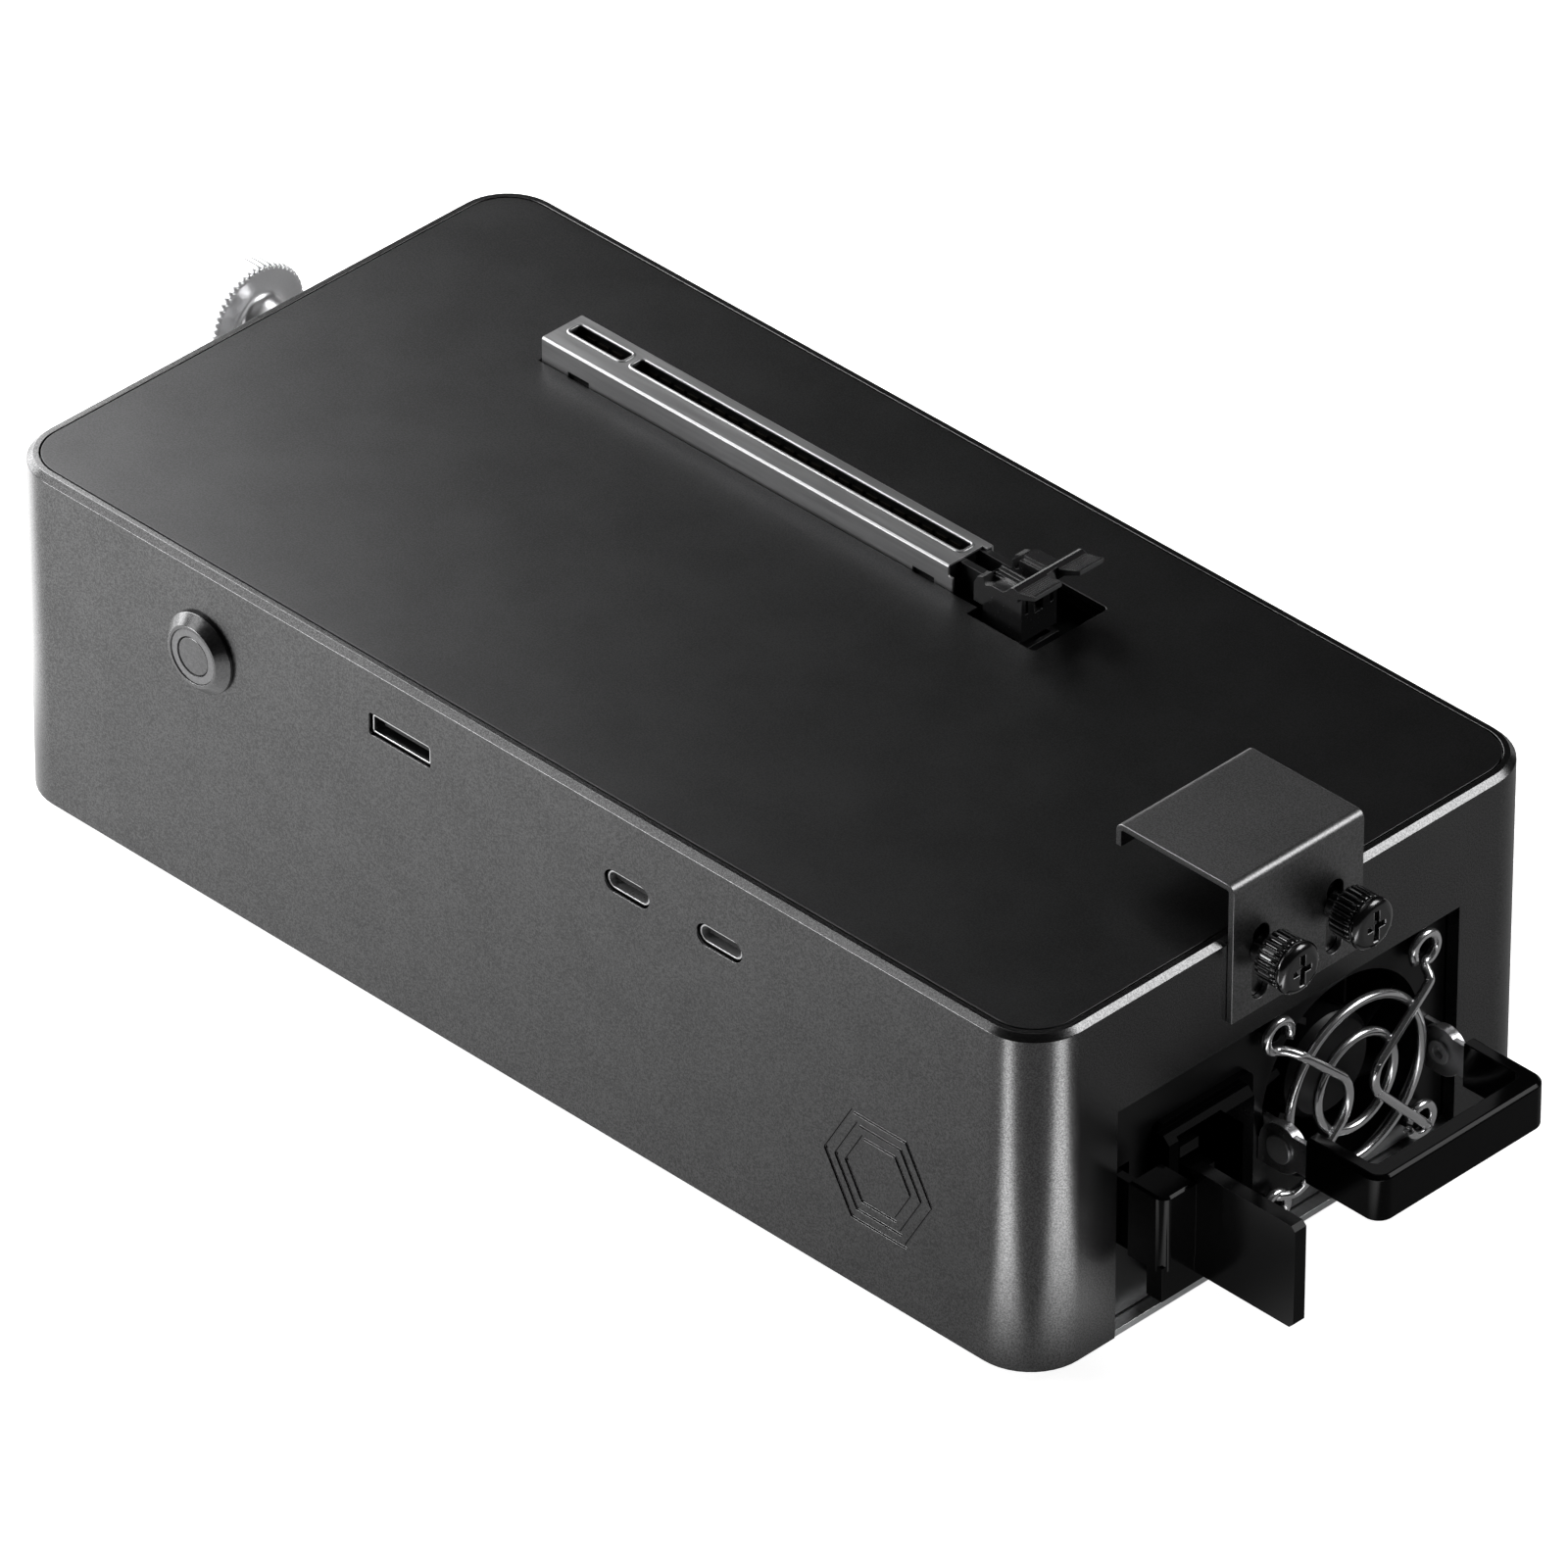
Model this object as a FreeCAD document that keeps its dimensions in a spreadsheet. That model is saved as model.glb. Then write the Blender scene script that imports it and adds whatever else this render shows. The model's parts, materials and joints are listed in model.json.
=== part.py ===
import FreeCAD, Part
import math
import os

import Sketcher

# External graphics card enclosure: a desk dock with a card slot on top and a slide-in power supply.
# Frame: x = y = 0 at the middle of the case, z = 0 on the desk, +X towards the power supply's face,
# -Y towards the long front with the power button, +Z up. All sizes are millimetres.

SIZES = {
    # The case: one aluminium shell with a deck, a flat rim and an inset top panel.
    "case_length": 223.6,
    "case_width": 110.0,
    "case_height": 61.9,
    "case_corner": 10.0,
    "foot_height": 2.0,
    "wall": 3.0,
    "deck": 2.0,
    "edge_chamfer": 1.0,
    "rim_width": 1.0,
    "panel_thickness": 1.2,
    "panel_gap": 0.25,
    "plate_thickness": 1.2,
    "plate_gap": 0.2,
    # Bottom screws, their bosses and the feet.
    "boss_radius": 3.5,
    "boss_inset_y": 6.4,
    "boss_inset_x": 27.8,
    "boss_height": 9.8,
    "screw_core": 1.2,
    "bore_gap": 0.05,
    "hole_gap": 0.2,
    "sink_depth": 1.1,
    "foot_radius": 6.5,
    "foot_inset": 11.5,
    # The power supply and its bay.
    "psu_length": 185.0,
    "psu_width": 73.5,
    "psu_height": 40.0,
    "psu_float": 0.3,
    "psu_gap": 0.3,
    "psu_headroom": 0.45,
    "psu_recess": 2.6,
    "psu_skin": 1.0,
    "psu_board_rise": 3.5,
    "psu_part_height": 28.0,
    "psu_can_radius": 8.0,
    "psu_core_length": 22.0,
    "psu_sink_length": 70.0,
    "psu_sink_depth": 8.0,
    "bay_sheet": 1.0,
    # The card slot.
    "slot_axis_y": 27.4,
    "slot_start_x": -70.55,
    "shield_length": 89.55,
    "shield_near": 5.4,
    "shield_far": 3.6,
    "shield_rise": 4.3,
    "shield_sheet": 0.4,
    "slot_height": 11.6,
    "window_start": 1.65,
    "window_short": 12.1,
    "window_bar": 1.6,
    "window_long": 72.1,
    "window_width": 2.95,
    "card_channel": 2.0,
    "contact_bay": 3.3,
    "slot_tail": 3.3,
    "slot_floor": 2.2,
    # The cut-out in the panel round the slot and the card latch.
    "channel_gap": 0.35,
    "pit_start_x": 24.8,
    "pit_length": 14.3,
    "pit_half_width": 8.1,
    "pit_corner": 0.8,
    # The card latch and the cradle that carries it.
    "cradle_half_width": 3.75,
    "latch_half_width": 5.2,
    "latch_length": 10.2,
    "latch_gap": 1.1,
    "latch_pivot_x": 29.0,
    "latch_pivot_rise": 2.4,
    "latch_pin": 1.2,
    "latch_pad_half": 7.5,
    "ear_thickness": 1.15,
    # Boards.
    "board_thickness": 1.6,
    "board_front_gap": 1.5,
    "main_board_start_x": -80.0,
    "main_board_end_x": 44.0,
    "main_board_back_y": 44.0,
    "side_board_start_x": 15.0,
    "side_board_end_x": 57.0,
    "side_board_back_y": -20.0,
    "side_post": 2.25,
    "post_radius": 2.5,
    "screw_head": 2.8,
    "screw_head_height": 1.8,
    # Front controls and ports.
    "button_x": -66.7,
    "button_z": 48.3,
    "button_flange": 7.0,
    "button_top": 5.3,
    "button_proud": 2.2,
    "button_cap": 3.35,
    "ring_outer": 4.7,
    "button_barrel": 5.4,
    "barrel_length": 10.0,
    "button_travel": 1.0,
    "link_x": -23.0,
    "link_width": 12.7,
    "link_height": 3.3,
    "round_port_x1": 26.1,
    "round_port_x2": 45.8,
    "round_port_width": 8.94,
    "round_port_height": 3.2,
    "port_gap": 0.35,
    "port_recess": 0.5,
    "shell_wall": 0.3,
    # Engraved ornament on the long front.
    "mark_x": 79.6,
    "mark_z": 24.2,
    "mark_radius": 11.6,
    "mark_line": 0.7,
    "mark_pitch": 2.2,
    "mark_depth": 0.35,
    # Support bracket with its two thumb screws.
    "bracket_sheet": 1.1,
    "bracket_half_width": 14.1,
    "bracket_reach": 24.3,
    "bracket_rise": 9.9,
    "bracket_lip": 4.1,
    "bracket_leg": 25.0,
    "bracket_bend": 1.5,
    "bracket_play": 0.05,
    "slot_spread": 8.0,
    "slot_width": 3.5,
    "slot_bottom_z": 50.7,
    "slot_top_z": 64.2,
    "thumb_z": 60.0,
    "thumb_shank": 1.5,
    "thumb_collar": 2.5,
    "thumb_neck": 2.3,
    "thumb_knurl": 4.2,
    "thumb_knurl_length": 4.2,
    "thumb_rim": 4.4,
    "thumb_rim_length": 1.6,
    "knurl_depth": 0.4,
    "insert_wall": 0.6,
    # Knob on the far end, which clamps the card's own end bracket.
    "knob_y": 10.5,
    "knob_z": 52.0,
    "knob_radius": 9.85,
    "knob_thickness": 4.5,
    "knob_chamfer": 0.7,
    "knob_collar": 4.4,
    "knob_reach": 10.5,
    "knob_stud": 2.5,
    # Face of the power supply.
    "fan_inset": 22.55,
    "fan_border": 1.5,
    "fan_depth": 26.0,
    "fan_rim": 1.2,
    "fan_hub": 9.0,
    "fan_tip_gap": 0.4,
    "fan_hole_inset": 2.5,
    "fan_boss": 1.2,
    "fan_slip": 0.2,
    "guard_wire": 0.7,
    "guard_outer": 14.5,
    "guard_inner": 8.3,
    "guard_eye": 2.6,
    "inlet_z": 21.3,
    "inlet_inset": 9.45,
    "inlet_gap": 1.9,
    "inlet_tall": 28.0,
    "inlet_proud": 3.7,
    "inlet_depth": 18.0,
    "cavity_wall": 2.3,
    "cavity_tall": 24.4,
    "handle_pivot_x": 113.8,
    "handle_pivot_z": 21.0,
    "handle_play": 0.1,
    "handle_reach": 21.1,
    "handle_arm": 2.6,
    "handle_bar": 3.5,
    "handle_bottom_z": 17.9,
    "handle_thickness": 8.2,
    "handle_start": 5.8,
    "handle_ear": 4.3,
    "handle_lug": 4.0,
    "ear_sheet": 1.0,
    "rivet_radius": 1.5,
    "rivet_head": 2.4,
    "release_pivot_x": 98.5,
    "release_pivot_inset": 3.15,
    "release_block_end": 11.1,
    "release_block_near": 0.85,
    "release_block_width": 7.0,
    "release_block_z": 17.6,
    "release_block_tall": 13.7,
    "release_tab": 2.5,
    "release_tab_reach": 20.2,
    "release_tab_tall": 18.7,
}

doc = FreeCAD.newDocument("enclosure")
sheet = doc.addObject("Spreadsheet::Sheet", "sizes")
for row, (alias, value) in enumerate(SIZES.items(), start=1):
    sheet.set("A%d" % row, alias)
    sheet.set("B%d" % row, repr(value))
    sheet.setAlias("B%d" % row, alias)
doc.recompute()


class Size(float):
    """A number that keeps the sheet formula it comes from."""

    def __new__(cls, value, formula):
        made = float.__new__(cls, value)
        made.formula = formula
        return made

    def __add__(self, other):
        return Size(float(self) + float(other), "(%s + %s)" % (formula(self), formula(other)))

    def __radd__(self, other):
        return Size(float(other) + float(self), "(%s + %s)" % (formula(other), formula(self)))

    def __sub__(self, other):
        return Size(float(self) - float(other), "(%s - %s)" % (formula(self), formula(other)))

    def __rsub__(self, other):
        return Size(float(other) - float(self), "(%s - %s)" % (formula(other), formula(self)))

    def __mul__(self, other):
        return Size(float(self) * float(other), "(%s * %s)" % (formula(self), formula(other)))

    def __rmul__(self, other):
        return Size(float(other) * float(self), "(%s * %s)" % (formula(other), formula(self)))

    def __truediv__(self, other):
        return Size(float(self) / float(other), "(%s / %s)" % (formula(self), formula(other)))

    def __neg__(self):
        return Size(-float(self), "(0 - %s)" % formula(self))


def formula(value):
    """The text of a value for an expression."""
    if isinstance(value, Size):
        return value.formula
    if value < 0:
        return "(0 - %r)" % abs(float(value))
    return repr(float(value))


class Sheet:
    """Every driving dimension under its alias, read back from the sheet."""

    def __getattr__(self, alias):
        return Size(float(sheet.get(alias)), "sizes." + alias)


S = Sheet()
NODES = {}


def node(name, thing):
    """Registers a finished sub-part under the name that its file gets."""
    thing.Label = name
    NODES[name] = thing
    return thing


def bind(thing, prop, value):
    """Sets a property to a plain number or ties it to the sheet."""
    if isinstance(value, Size):
        thing.setExpression(prop, value.formula)
    else:
        setattr(thing, prop, value)


TURNS = {
    "z": FreeCAD.Rotation(),
    "x": FreeCAD.Rotation(FreeCAD.Vector(0, 1, 0), 90),
    "y": FreeCAD.Rotation(FreeCAD.Vector(1, 0, 0), -90),
}


def place(thing, point, turn="z"):
    """Puts a primitive at a point, its own z axis along the named one."""
    thing.Placement = FreeCAD.Placement(FreeCAD.Vector(*[float(value) for value in point]), TURNS[turn])
    for letter, value in zip("xyz", point):
        if isinstance(value, Size):
            thing.setExpression("Placement.Base." + letter, value.formula)


def box(name, low, high):
    """A block between two corners."""
    block = doc.addObject("Part::Box", name)
    for prop, start, end in zip(("Length", "Width", "Height"), low, high):
        bind(block, prop, end - start)
    place(block, low)
    return block


def rod(name, start, radius, length, turn="z"):
    """A cylinder from a point along an axis."""
    round_bar = doc.addObject("Part::Cylinder", name)
    bind(round_bar, "Radius", radius)
    bind(round_bar, "Height", length)
    place(round_bar, start, turn)
    return round_bar


def cone(name, start, radius_a, radius_b, length, turn="z"):
    """A cone frustum from a point along an axis."""
    taper = doc.addObject("Part::Cone", name)
    bind(taper, "Radius1", radius_a)
    bind(taper, "Radius2", radius_b)
    bind(taper, "Height", length)
    place(taper, start, turn)
    return taper


def fuse(name, *things):
    """One solid from touching ones."""
    joined = doc.addObject("Part::MultiFuse", name)
    joined.Shapes = list(things)
    joined.Refine = True
    return joined


def cut(name, base, *tools):
    """Takes the tools out of the base."""
    tool = tools[0] if len(tools) == 1 else fuse(name + "_tools", *tools)
    rest = doc.addObject("Part::Cut", name)
    rest.Base = base
    rest.Tool = tool
    rest.Refine = True
    return rest


def group(name, *things):
    """Like pieces in one node, each a solid of its own."""
    together = doc.addObject("Part::Compound", name)
    together.Links = list(things)
    return together


def shaped(name, shape):
    """A piece whose shape is worked out below from the sheet's values."""
    made = doc.addObject("Part::Feature", name)
    made.Shape = shape
    return made


def fix_point(sketch, geometry, end, x, y):
    """Ties one end of a line, or a centre, to its place from the origin."""
    for kind, value in (("DistanceX", x), ("DistanceY", y)):
        index = sketch.addConstraint(Sketcher.Constraint(kind, -1, 1, geometry, end, float(value)))
        if isinstance(value, Size):
            sketch.setExpression("Constraints[%d]" % index, value.formula)


def fix_radius(sketch, geometry, radius):
    """Ties a radius to its value."""
    index = sketch.addConstraint(Sketcher.Constraint("Radius", geometry, float(radius)))
    if isinstance(radius, Size):
        sketch.setExpression("Constraints[%d]" % index, radius.formula)


def polygon(*corners):
    """A closed outline of straight lines through the corners."""
    def draw(sketch):
        first = sketch.GeometryCount
        points = [FreeCAD.Vector(float(x), float(y), 0) for x, y in corners]
        for start, end in zip(points, points[1:] + points[:1]):
            sketch.addGeometry(Part.LineSegment(start, end), False)
        for index, (x, y) in enumerate(corners):
            line = first + index
            following = first + (index + 1) % len(corners)
            sketch.addConstraint(Sketcher.Constraint("Coincident", line, 2, following, 1))
            fix_point(sketch, line, 1, x, y)
    return draw


def rectangle(x0, y0, x1, y1):
    """A plain rectangle between two corners."""
    return polygon((x0, y0), (x1, y0), (x1, y1), (x0, y1))


def circle(x, y, radius):
    """A circle."""
    def draw(sketch):
        centre = FreeCAD.Vector(float(x), float(y), 0)
        index = sketch.addGeometry(Part.Circle(centre, FreeCAD.Vector(0, 0, 1), float(radius)), False)
        fix_point(sketch, index, 3, x, y)
        fix_radius(sketch, index, radius)
    return draw


def arc_at(sketch, x, y, radius, start, end):
    """Adds an arc by its centre and its two angles in degrees."""
    ring = Part.Circle(FreeCAD.Vector(float(x), float(y), 0), FreeCAD.Vector(0, 0, 1), float(radius))
    return sketch.addGeometry(Part.ArcOfCircle(ring, math.radians(start), math.radians(end)), False)


def rounded(x0, y0, x1, y1, radius):
    """A rectangle with equal round corners, each an arc tangent to its sides."""
    def draw(sketch):
        first = sketch.GeometryCount
        a, b, c, d, r = float(x0), float(y0), float(x1), float(y1), float(radius)
        sides = (((a + r, b), (c - r, b)), ((c, b + r), (c, d - r)),
                 ((c - r, d), (a + r, d)), ((a, d - r), (a, b + r)))
        for start, end in sides:
            line = Part.LineSegment(FreeCAD.Vector(*start, 0), FreeCAD.Vector(*end, 0))
            sketch.addGeometry(line, False)
        arcs = [arc_at(sketch, c - r, b + r, r, 270, 360), arc_at(sketch, c - r, d - r, r, 0, 90),
                arc_at(sketch, a + r, d - r, r, 90, 180), arc_at(sketch, a + r, b + r, r, 180, 270)]
        for index, arc in enumerate(arcs):
            side = first + index
            following = first + (index + 1) % 4
            sketch.addConstraint(Sketcher.Constraint("Tangent", side, 2, arc, 1))
            sketch.addConstraint(Sketcher.Constraint("Tangent", arc, 2, following, 1))
        for index, kind in enumerate(("Horizontal", "Vertical", "Horizontal", "Vertical")):
            sketch.addConstraint(Sketcher.Constraint(kind, first + index))
        for arc in arcs[1:]:
            sketch.addConstraint(Sketcher.Constraint("Equal", arcs[0], arc))
        fix_radius(sketch, arcs[0], radius)
        for kind, index, value in (("DistanceY", 0, y0), ("DistanceX", 1, x1),
                                   ("DistanceY", 2, y1), ("DistanceX", 3, x0)):
            tie = sketch.addConstraint(Sketcher.Constraint(kind, -1, 1, first + index, 1, float(value)))
            if isinstance(value, Size):
                sketch.setExpression("Constraints[%d]" % tie, value.formula)
    return draw


def obround(x0, y0, x1, y1, upright):
    """A slot with two half-round ends."""
    def draw(sketch):
        radius = (x1 - x0) / 2 if upright else (y1 - y0) / 2
        ends = [(x0 + radius, y0 + radius), (x1 - radius, y1 - radius)]
        (a, b), (c, d) = [[float(value) for value in end] for end in ends]
        r = float(radius)
        turn = 90 if upright else 0
        head = arc_at(sketch, c, d, r, turn - 90, turn + 90)
        tail = arc_at(sketch, a, b, r, turn + 90, turn + 270)
        side = (r, 0) if upright else (0, -r)
        near = Part.LineSegment(FreeCAD.Vector(a + side[0], b + side[1], 0),
                                FreeCAD.Vector(c + side[0], d + side[1], 0))
        far = Part.LineSegment(FreeCAD.Vector(c - side[0], d - side[1], 0),
                               FreeCAD.Vector(a - side[0], b - side[1], 0))
        first = sketch.addGeometry(near, False)
        second = sketch.addGeometry(far, False)
        for one, end, other, start in ((first, 2, head, 1), (head, 2, second, 1),
                                       (second, 2, tail, 1), (tail, 2, first, 1)):
            sketch.addConstraint(Sketcher.Constraint("Tangent", one, end, other, start))
        sketch.addConstraint(Sketcher.Constraint("Equal", head, tail))
        sketch.addConstraint(Sketcher.Constraint("Vertical" if upright else "Horizontal", first))
        fix_radius(sketch, head, radius)
        fix_point(sketch, tail, 3, *ends[0])
        kind, value = ("DistanceY", ends[1][1]) if upright else ("DistanceX", ends[1][0])
        tie = sketch.addConstraint(Sketcher.Constraint(kind, -1, 1, head, 3, float(value)))
        if isinstance(value, Size):
            sketch.setExpression("Constraints[%d]" % tie, value.formula)
    return draw


def new_body(name):
    return doc.addObject("PartDesign::Body", name)


def sketch_on(body, name, plane, offset, outlines):
    """A sketch on one of the body's own planes, moved along the plane's normal."""
    sketch = body.newObject("Sketcher::SketchObject", name)
    support = [item for item in body.Origin.OriginFeatures if item.Role == plane + "_Plane"][0]
    sketch.AttachmentSupport = [(support, "")]
    sketch.MapMode = "FlatFace"
    sketch.AttachmentOffset = FreeCAD.Placement(FreeCAD.Vector(0, 0, float(offset)), FreeCAD.Rotation())
    if isinstance(offset, Size):
        sketch.setExpression("AttachmentOffset.Base.z", offset.formula)
    for outline in outlines:
        outline(sketch)
    return sketch


def pad(body, name, plane, low, high, *outlines):
    """Material between two levels: z over XY, x over YZ, y over XZ, whose normal is -Y."""
    offset = -high if plane == "XZ" else low
    sketch = sketch_on(body, name + "_sketch", plane, offset, outlines)
    feature = body.newObject("PartDesign::Pad", name)
    feature.Profile = sketch
    bind(feature, "Length", high - low)
    return feature


def pocket(body, name, plane, low, high, *outlines):
    """A cut between two levels, which has to take volume away."""
    doc.recompute()
    before = body.Shape.Volume
    offset = -low if plane == "XZ" else high
    sketch = sketch_on(body, name + "_sketch", plane, offset, outlines)
    feature = body.newObject("PartDesign::Pocket", name)
    feature.Profile = sketch
    bind(feature, "Length", high - low)
    doc.recompute()
    if body.Shape.isNull() or body.Shape.Volume >= before - 1e-6:
        raise ValueError("%s of %s cuts nothing" % (name, body.Name))
    return feature


def soften(body, kind, name, amount, chosen):
    """Fillet or Chamfer on the edges that the test picks."""
    doc.recompute()
    base = body.Tip
    picked = ["Edge%d" % (index + 1) for index, edge in enumerate(base.Shape.Edges) if chosen(edge)]
    if not picked:
        raise ValueError("%s of %s finds no edge" % (name, body.Name))
    feature = body.newObject("PartDesign::" + kind, name)
    feature.Base = (base, picked)
    bind(feature, "Radius" if kind == "Fillet" else "Size", amount)
    return feature


def revolve(body, name, axis_point, axis_letter, corners):
    """A turned form: corners are (distance along the axis, radius), turned about an axis along x or y."""
    x, y, z = axis_point
    if axis_letter == "x":
        plane, offset = "XZ", -y
        outline = [(x + along, z + radius) for along, radius in corners]
    else:
        plane, offset = "YZ", x
        outline = [(y + along, z + radius) for along, radius in corners]
    sketch = sketch_on(body, name + "_sketch", plane, offset, [polygon(*outline)])
    line = Part.LineSegment(FreeCAD.Vector(float(outline[0][0]), float(z), 0),
                            FreeCAD.Vector(float(outline[0][0]) + 1, float(z), 0))
    centre = sketch.addGeometry(line, True)
    fix_point(sketch, centre, 1, outline[0][0], z)
    fix_point(sketch, centre, 2, outline[0][0] + 1, z)
    feature = body.newObject("PartDesign::Revolution", name)
    feature.Profile = sketch
    feature.ReferenceAxis = (sketch, ["Axis0"])
    feature.Angle = 360
    return feature


def near(value, target, slack=1e-3):
    return abs(value - float(target)) < slack


def flat_at(edge, letter, level):
    """Whether an edge lies wholly at one level of x, y or z."""
    bounds = edge.BoundBox
    low = getattr(bounds, letter.upper() + "Min")
    high = getattr(bounds, letter.upper() + "Max")
    return near(low, level) and near(high, level)


def along(edge, letter):
    """Whether an edge is a straight line along x, y or z."""
    spans = {"x": edge.BoundBox.XLength, "y": edge.BoundBox.YLength, "z": edge.BoundBox.ZLength}
    rest = [span for name, span in spans.items() if name != letter]
    return spans[letter] > 1e-3 and max(rest) < 1e-3


def toothed_prism(start, radius, depth, teeth, length):
    """A bar along X whose section is a ring of V grooves, tooth tips at the full radius."""
    x, y, z = [float(value) for value in start]
    points = []
    for index in range(2 * teeth):
        angle = math.pi * index / teeth
        reach = float(radius) if index % 2 == 0 else float(radius) - float(depth)
        points.append(FreeCAD.Vector(x, y + reach * math.cos(angle), z + reach * math.sin(angle)))
    face = Part.Face(Part.makePolygon(points + points[:1]))
    return face.extrude(FreeCAD.Vector(float(length), 0, 0))


# Levels and edges that several pieces share.
half_length = S.case_length / 2
half_width = S.case_width / 2
case_bottom = S.foot_height
case_top = S.foot_height + S.case_height
panel_low = case_top - S.panel_thickness
deck_low = panel_low - S.deck
plate_top = case_bottom + S.plate_thickness
front_face = -half_width
end_face = half_length
inner_end = half_length - S.wall

psu_low = plate_top + S.psu_float
psu_top = psu_low + S.psu_height
psu_half = S.psu_width / 2
psu_face = end_face - S.psu_recess
psu_rear = psu_face - S.psu_length
psu_middle_z = psu_low + S.psu_height / 2
bay_half = psu_half + S.psu_gap
bay_top = psu_top + S.psu_headroom
bay_roof = bay_top + S.bay_sheet
bay_rear = psu_rear - 6.6
fan_side = S.psu_height - 2 * S.fan_border
fan_half = fan_side / 2
fan_y = psu_half - S.fan_inset
fan_duct = fan_half - S.fan_rim
fan_corner = fan_half - S.fan_hole_inset
handle_half = fan_half + S.handle_play
inlet_low_y = S.inlet_inset - psu_half
inlet_high_y = fan_y - handle_half - S.inlet_gap
inlet_y = (inlet_low_y + inlet_high_y) / 2
release_pivot_y = S.release_pivot_inset - psu_half

shield_top = case_top + S.shield_rise
board_top = shield_top - S.slot_height
board_low = board_top - S.board_thickness
board_front = front_face + S.wall + S.board_front_gap
side_low = bay_roof + S.side_post
side_top = side_low + S.board_thickness
shield_near_y = S.slot_axis_y - S.shield_near
shield_far_y = S.slot_axis_y + S.shield_far
shield_end_x = S.slot_start_x + S.shield_length
window_a = S.slot_start_x + S.window_start
window_b = window_a + S.window_short
window_c = window_b + S.window_bar
window_d = window_c + S.window_long
slot_end_x = shield_end_x + S.slot_tail
link_z = board_low - S.link_height / 2
round_port_z = side_top + S.round_port_height / 2
boss_y = half_width - S.boss_inset_y
boss_x = half_length - S.boss_inset_x
bay_edge = boss_y - S.boss_radius - S.plate_gap
boss_places = [(side_x * boss_x, side_y * boss_y) for side_x in (-1, 0, 1) for side_y in (-1, 1)]


def cutout_outline(gap):
    """The stepped opening round the slot and the latch pit, widened by a gap."""
    x0 = S.slot_start_x - S.channel_gap - gap
    x1 = S.pit_start_x - gap
    x2 = S.pit_start_x + S.pit_length + gap
    y0 = shield_near_y - S.channel_gap - gap
    y1 = shield_far_y + S.channel_gap + gap
    low = S.slot_axis_y - S.pit_half_width - gap
    high = S.slot_axis_y + S.pit_half_width + gap
    return polygon((x0, y0), (x1, y0), (x1, low), (x2, low), (x2, high), (x1, high), (x1, y1), (x0, y1))


def even_sided(x, y, radius, sides, turn):
    """A regular outline about a centre, its first corner turned by some degrees."""
    corners = []
    for step in range(sides):
        angle = math.radians(360 / sides * step + turn)
        across = round(math.cos(angle), 6)
        up = round(math.sin(angle), 6)
        corners.append((x + radius * across, y + radius * up))
    return polygon(*corners)


def hexagon(x, z, radius):
    """A six-sided outline with a corner at each side."""
    return even_sided(x, z, radius, 6, 0)


def octagon(x, y, radius):
    """The plain eight-sided form of a small round thing."""
    return even_sided(x, y, radius, 8, 22.5)


def stud(name, start, radius, length, sides=8):
    """A small upright bar with eight or six sides."""
    bar = doc.addObject("Part::Prism", name)
    bar.Polygon = sides
    bind(bar, "Circumradius", radius)
    bind(bar, "Height", length)
    place(bar, start)
    bar.Placement.Rotation = FreeCAD.Rotation(FreeCAD.Vector(0, 0, 1), 180.0 / sides)
    return bar


def make_main_case():
    """The shell: walls, deck, panel recess, the opening for the power supply and the front cut-outs."""
    body = new_body("main_case")
    x, y = half_length, half_width
    pad(body, "block", "XY", case_bottom, case_top, rounded(-x, -y, x, y, S.case_corner))
    soften(body, "Chamfer", "top_chamfer", S.edge_chamfer, lambda edge: flat_at(edge, "z", case_top))
    inset = S.wall
    pocket(body, "inside", "XY", case_bottom, deck_low,
           rounded(inset - x, inset - y, x - inset, y - inset, S.case_corner - inset))
    inset = S.edge_chamfer + S.rim_width
    pocket(body, "panel_recess", "XY", panel_low, case_top,
           rounded(inset - x, inset - y, x - inset, y - inset, S.case_corner - inset))
    bosses = [octagon(px, py, S.boss_radius) for px, py in boss_places]
    pad(body, "bosses", "XY", plate_top, plate_top + S.boss_height, *bosses)
    bores = [octagon(px, py, S.screw_core + S.bore_gap) for px, py in boss_places]
    pocket(body, "boss_bores", "XY", plate_top, plate_top + S.boss_height - 1, *bores)
    pocket(body, "supply_opening", "YZ", inner_end, end_face,
           rectangle(-bay_half, case_bottom, bay_half, bay_top))
    pocket(body, "deck_opening", "XY", deck_low, panel_low, cutout_outline(S.panel_gap))
    wall_back = front_face + S.wall
    gap = S.port_gap
    width = S.link_width / 2 + gap
    height = S.link_height / 2 + gap
    pocket(body, "button_hole", "XZ", front_face, wall_back,
           circle(S.button_x, S.button_z, S.button_barrel + S.bore_gap))
    pocket(body, "link_opening", "XZ", front_face, wall_back,
           rounded(S.link_x - width, link_z - height, S.link_x + width, link_z + height, 0.6))
    width = S.round_port_width / 2 + gap
    height = S.round_port_height / 2 + gap
    for number, place_x in enumerate((S.round_port_x1, S.round_port_x2), start=1):
        pocket(body, "port_opening_%d" % number, "XZ", front_face, wall_back,
               obround(place_x - width, round_port_z - height, place_x + width, round_port_z + height, False))
    rings = []
    for step in range(3):
        outer = S.mark_radius - step * S.mark_pitch
        rings += [hexagon(S.mark_x, S.mark_z, outer), hexagon(S.mark_x, S.mark_z, outer - S.mark_line)]
    pocket(body, "ornament", "XZ", front_face, front_face + S.mark_depth, *rings)
    seat = S.thumb_shank + S.bore_gap + S.insert_wall
    pocket(body, "insert_seats", "YZ", inner_end, end_face,
           circle(-S.slot_spread, S.thumb_z, seat), circle(S.slot_spread, S.thumb_z, seat))
    seat = S.knob_stud + S.bore_gap + S.insert_wall
    pocket(body, "knob_seat", "YZ", -end_face, -inner_end, circle(S.knob_y, S.knob_z, seat))
    return node("main_case", body)


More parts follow.
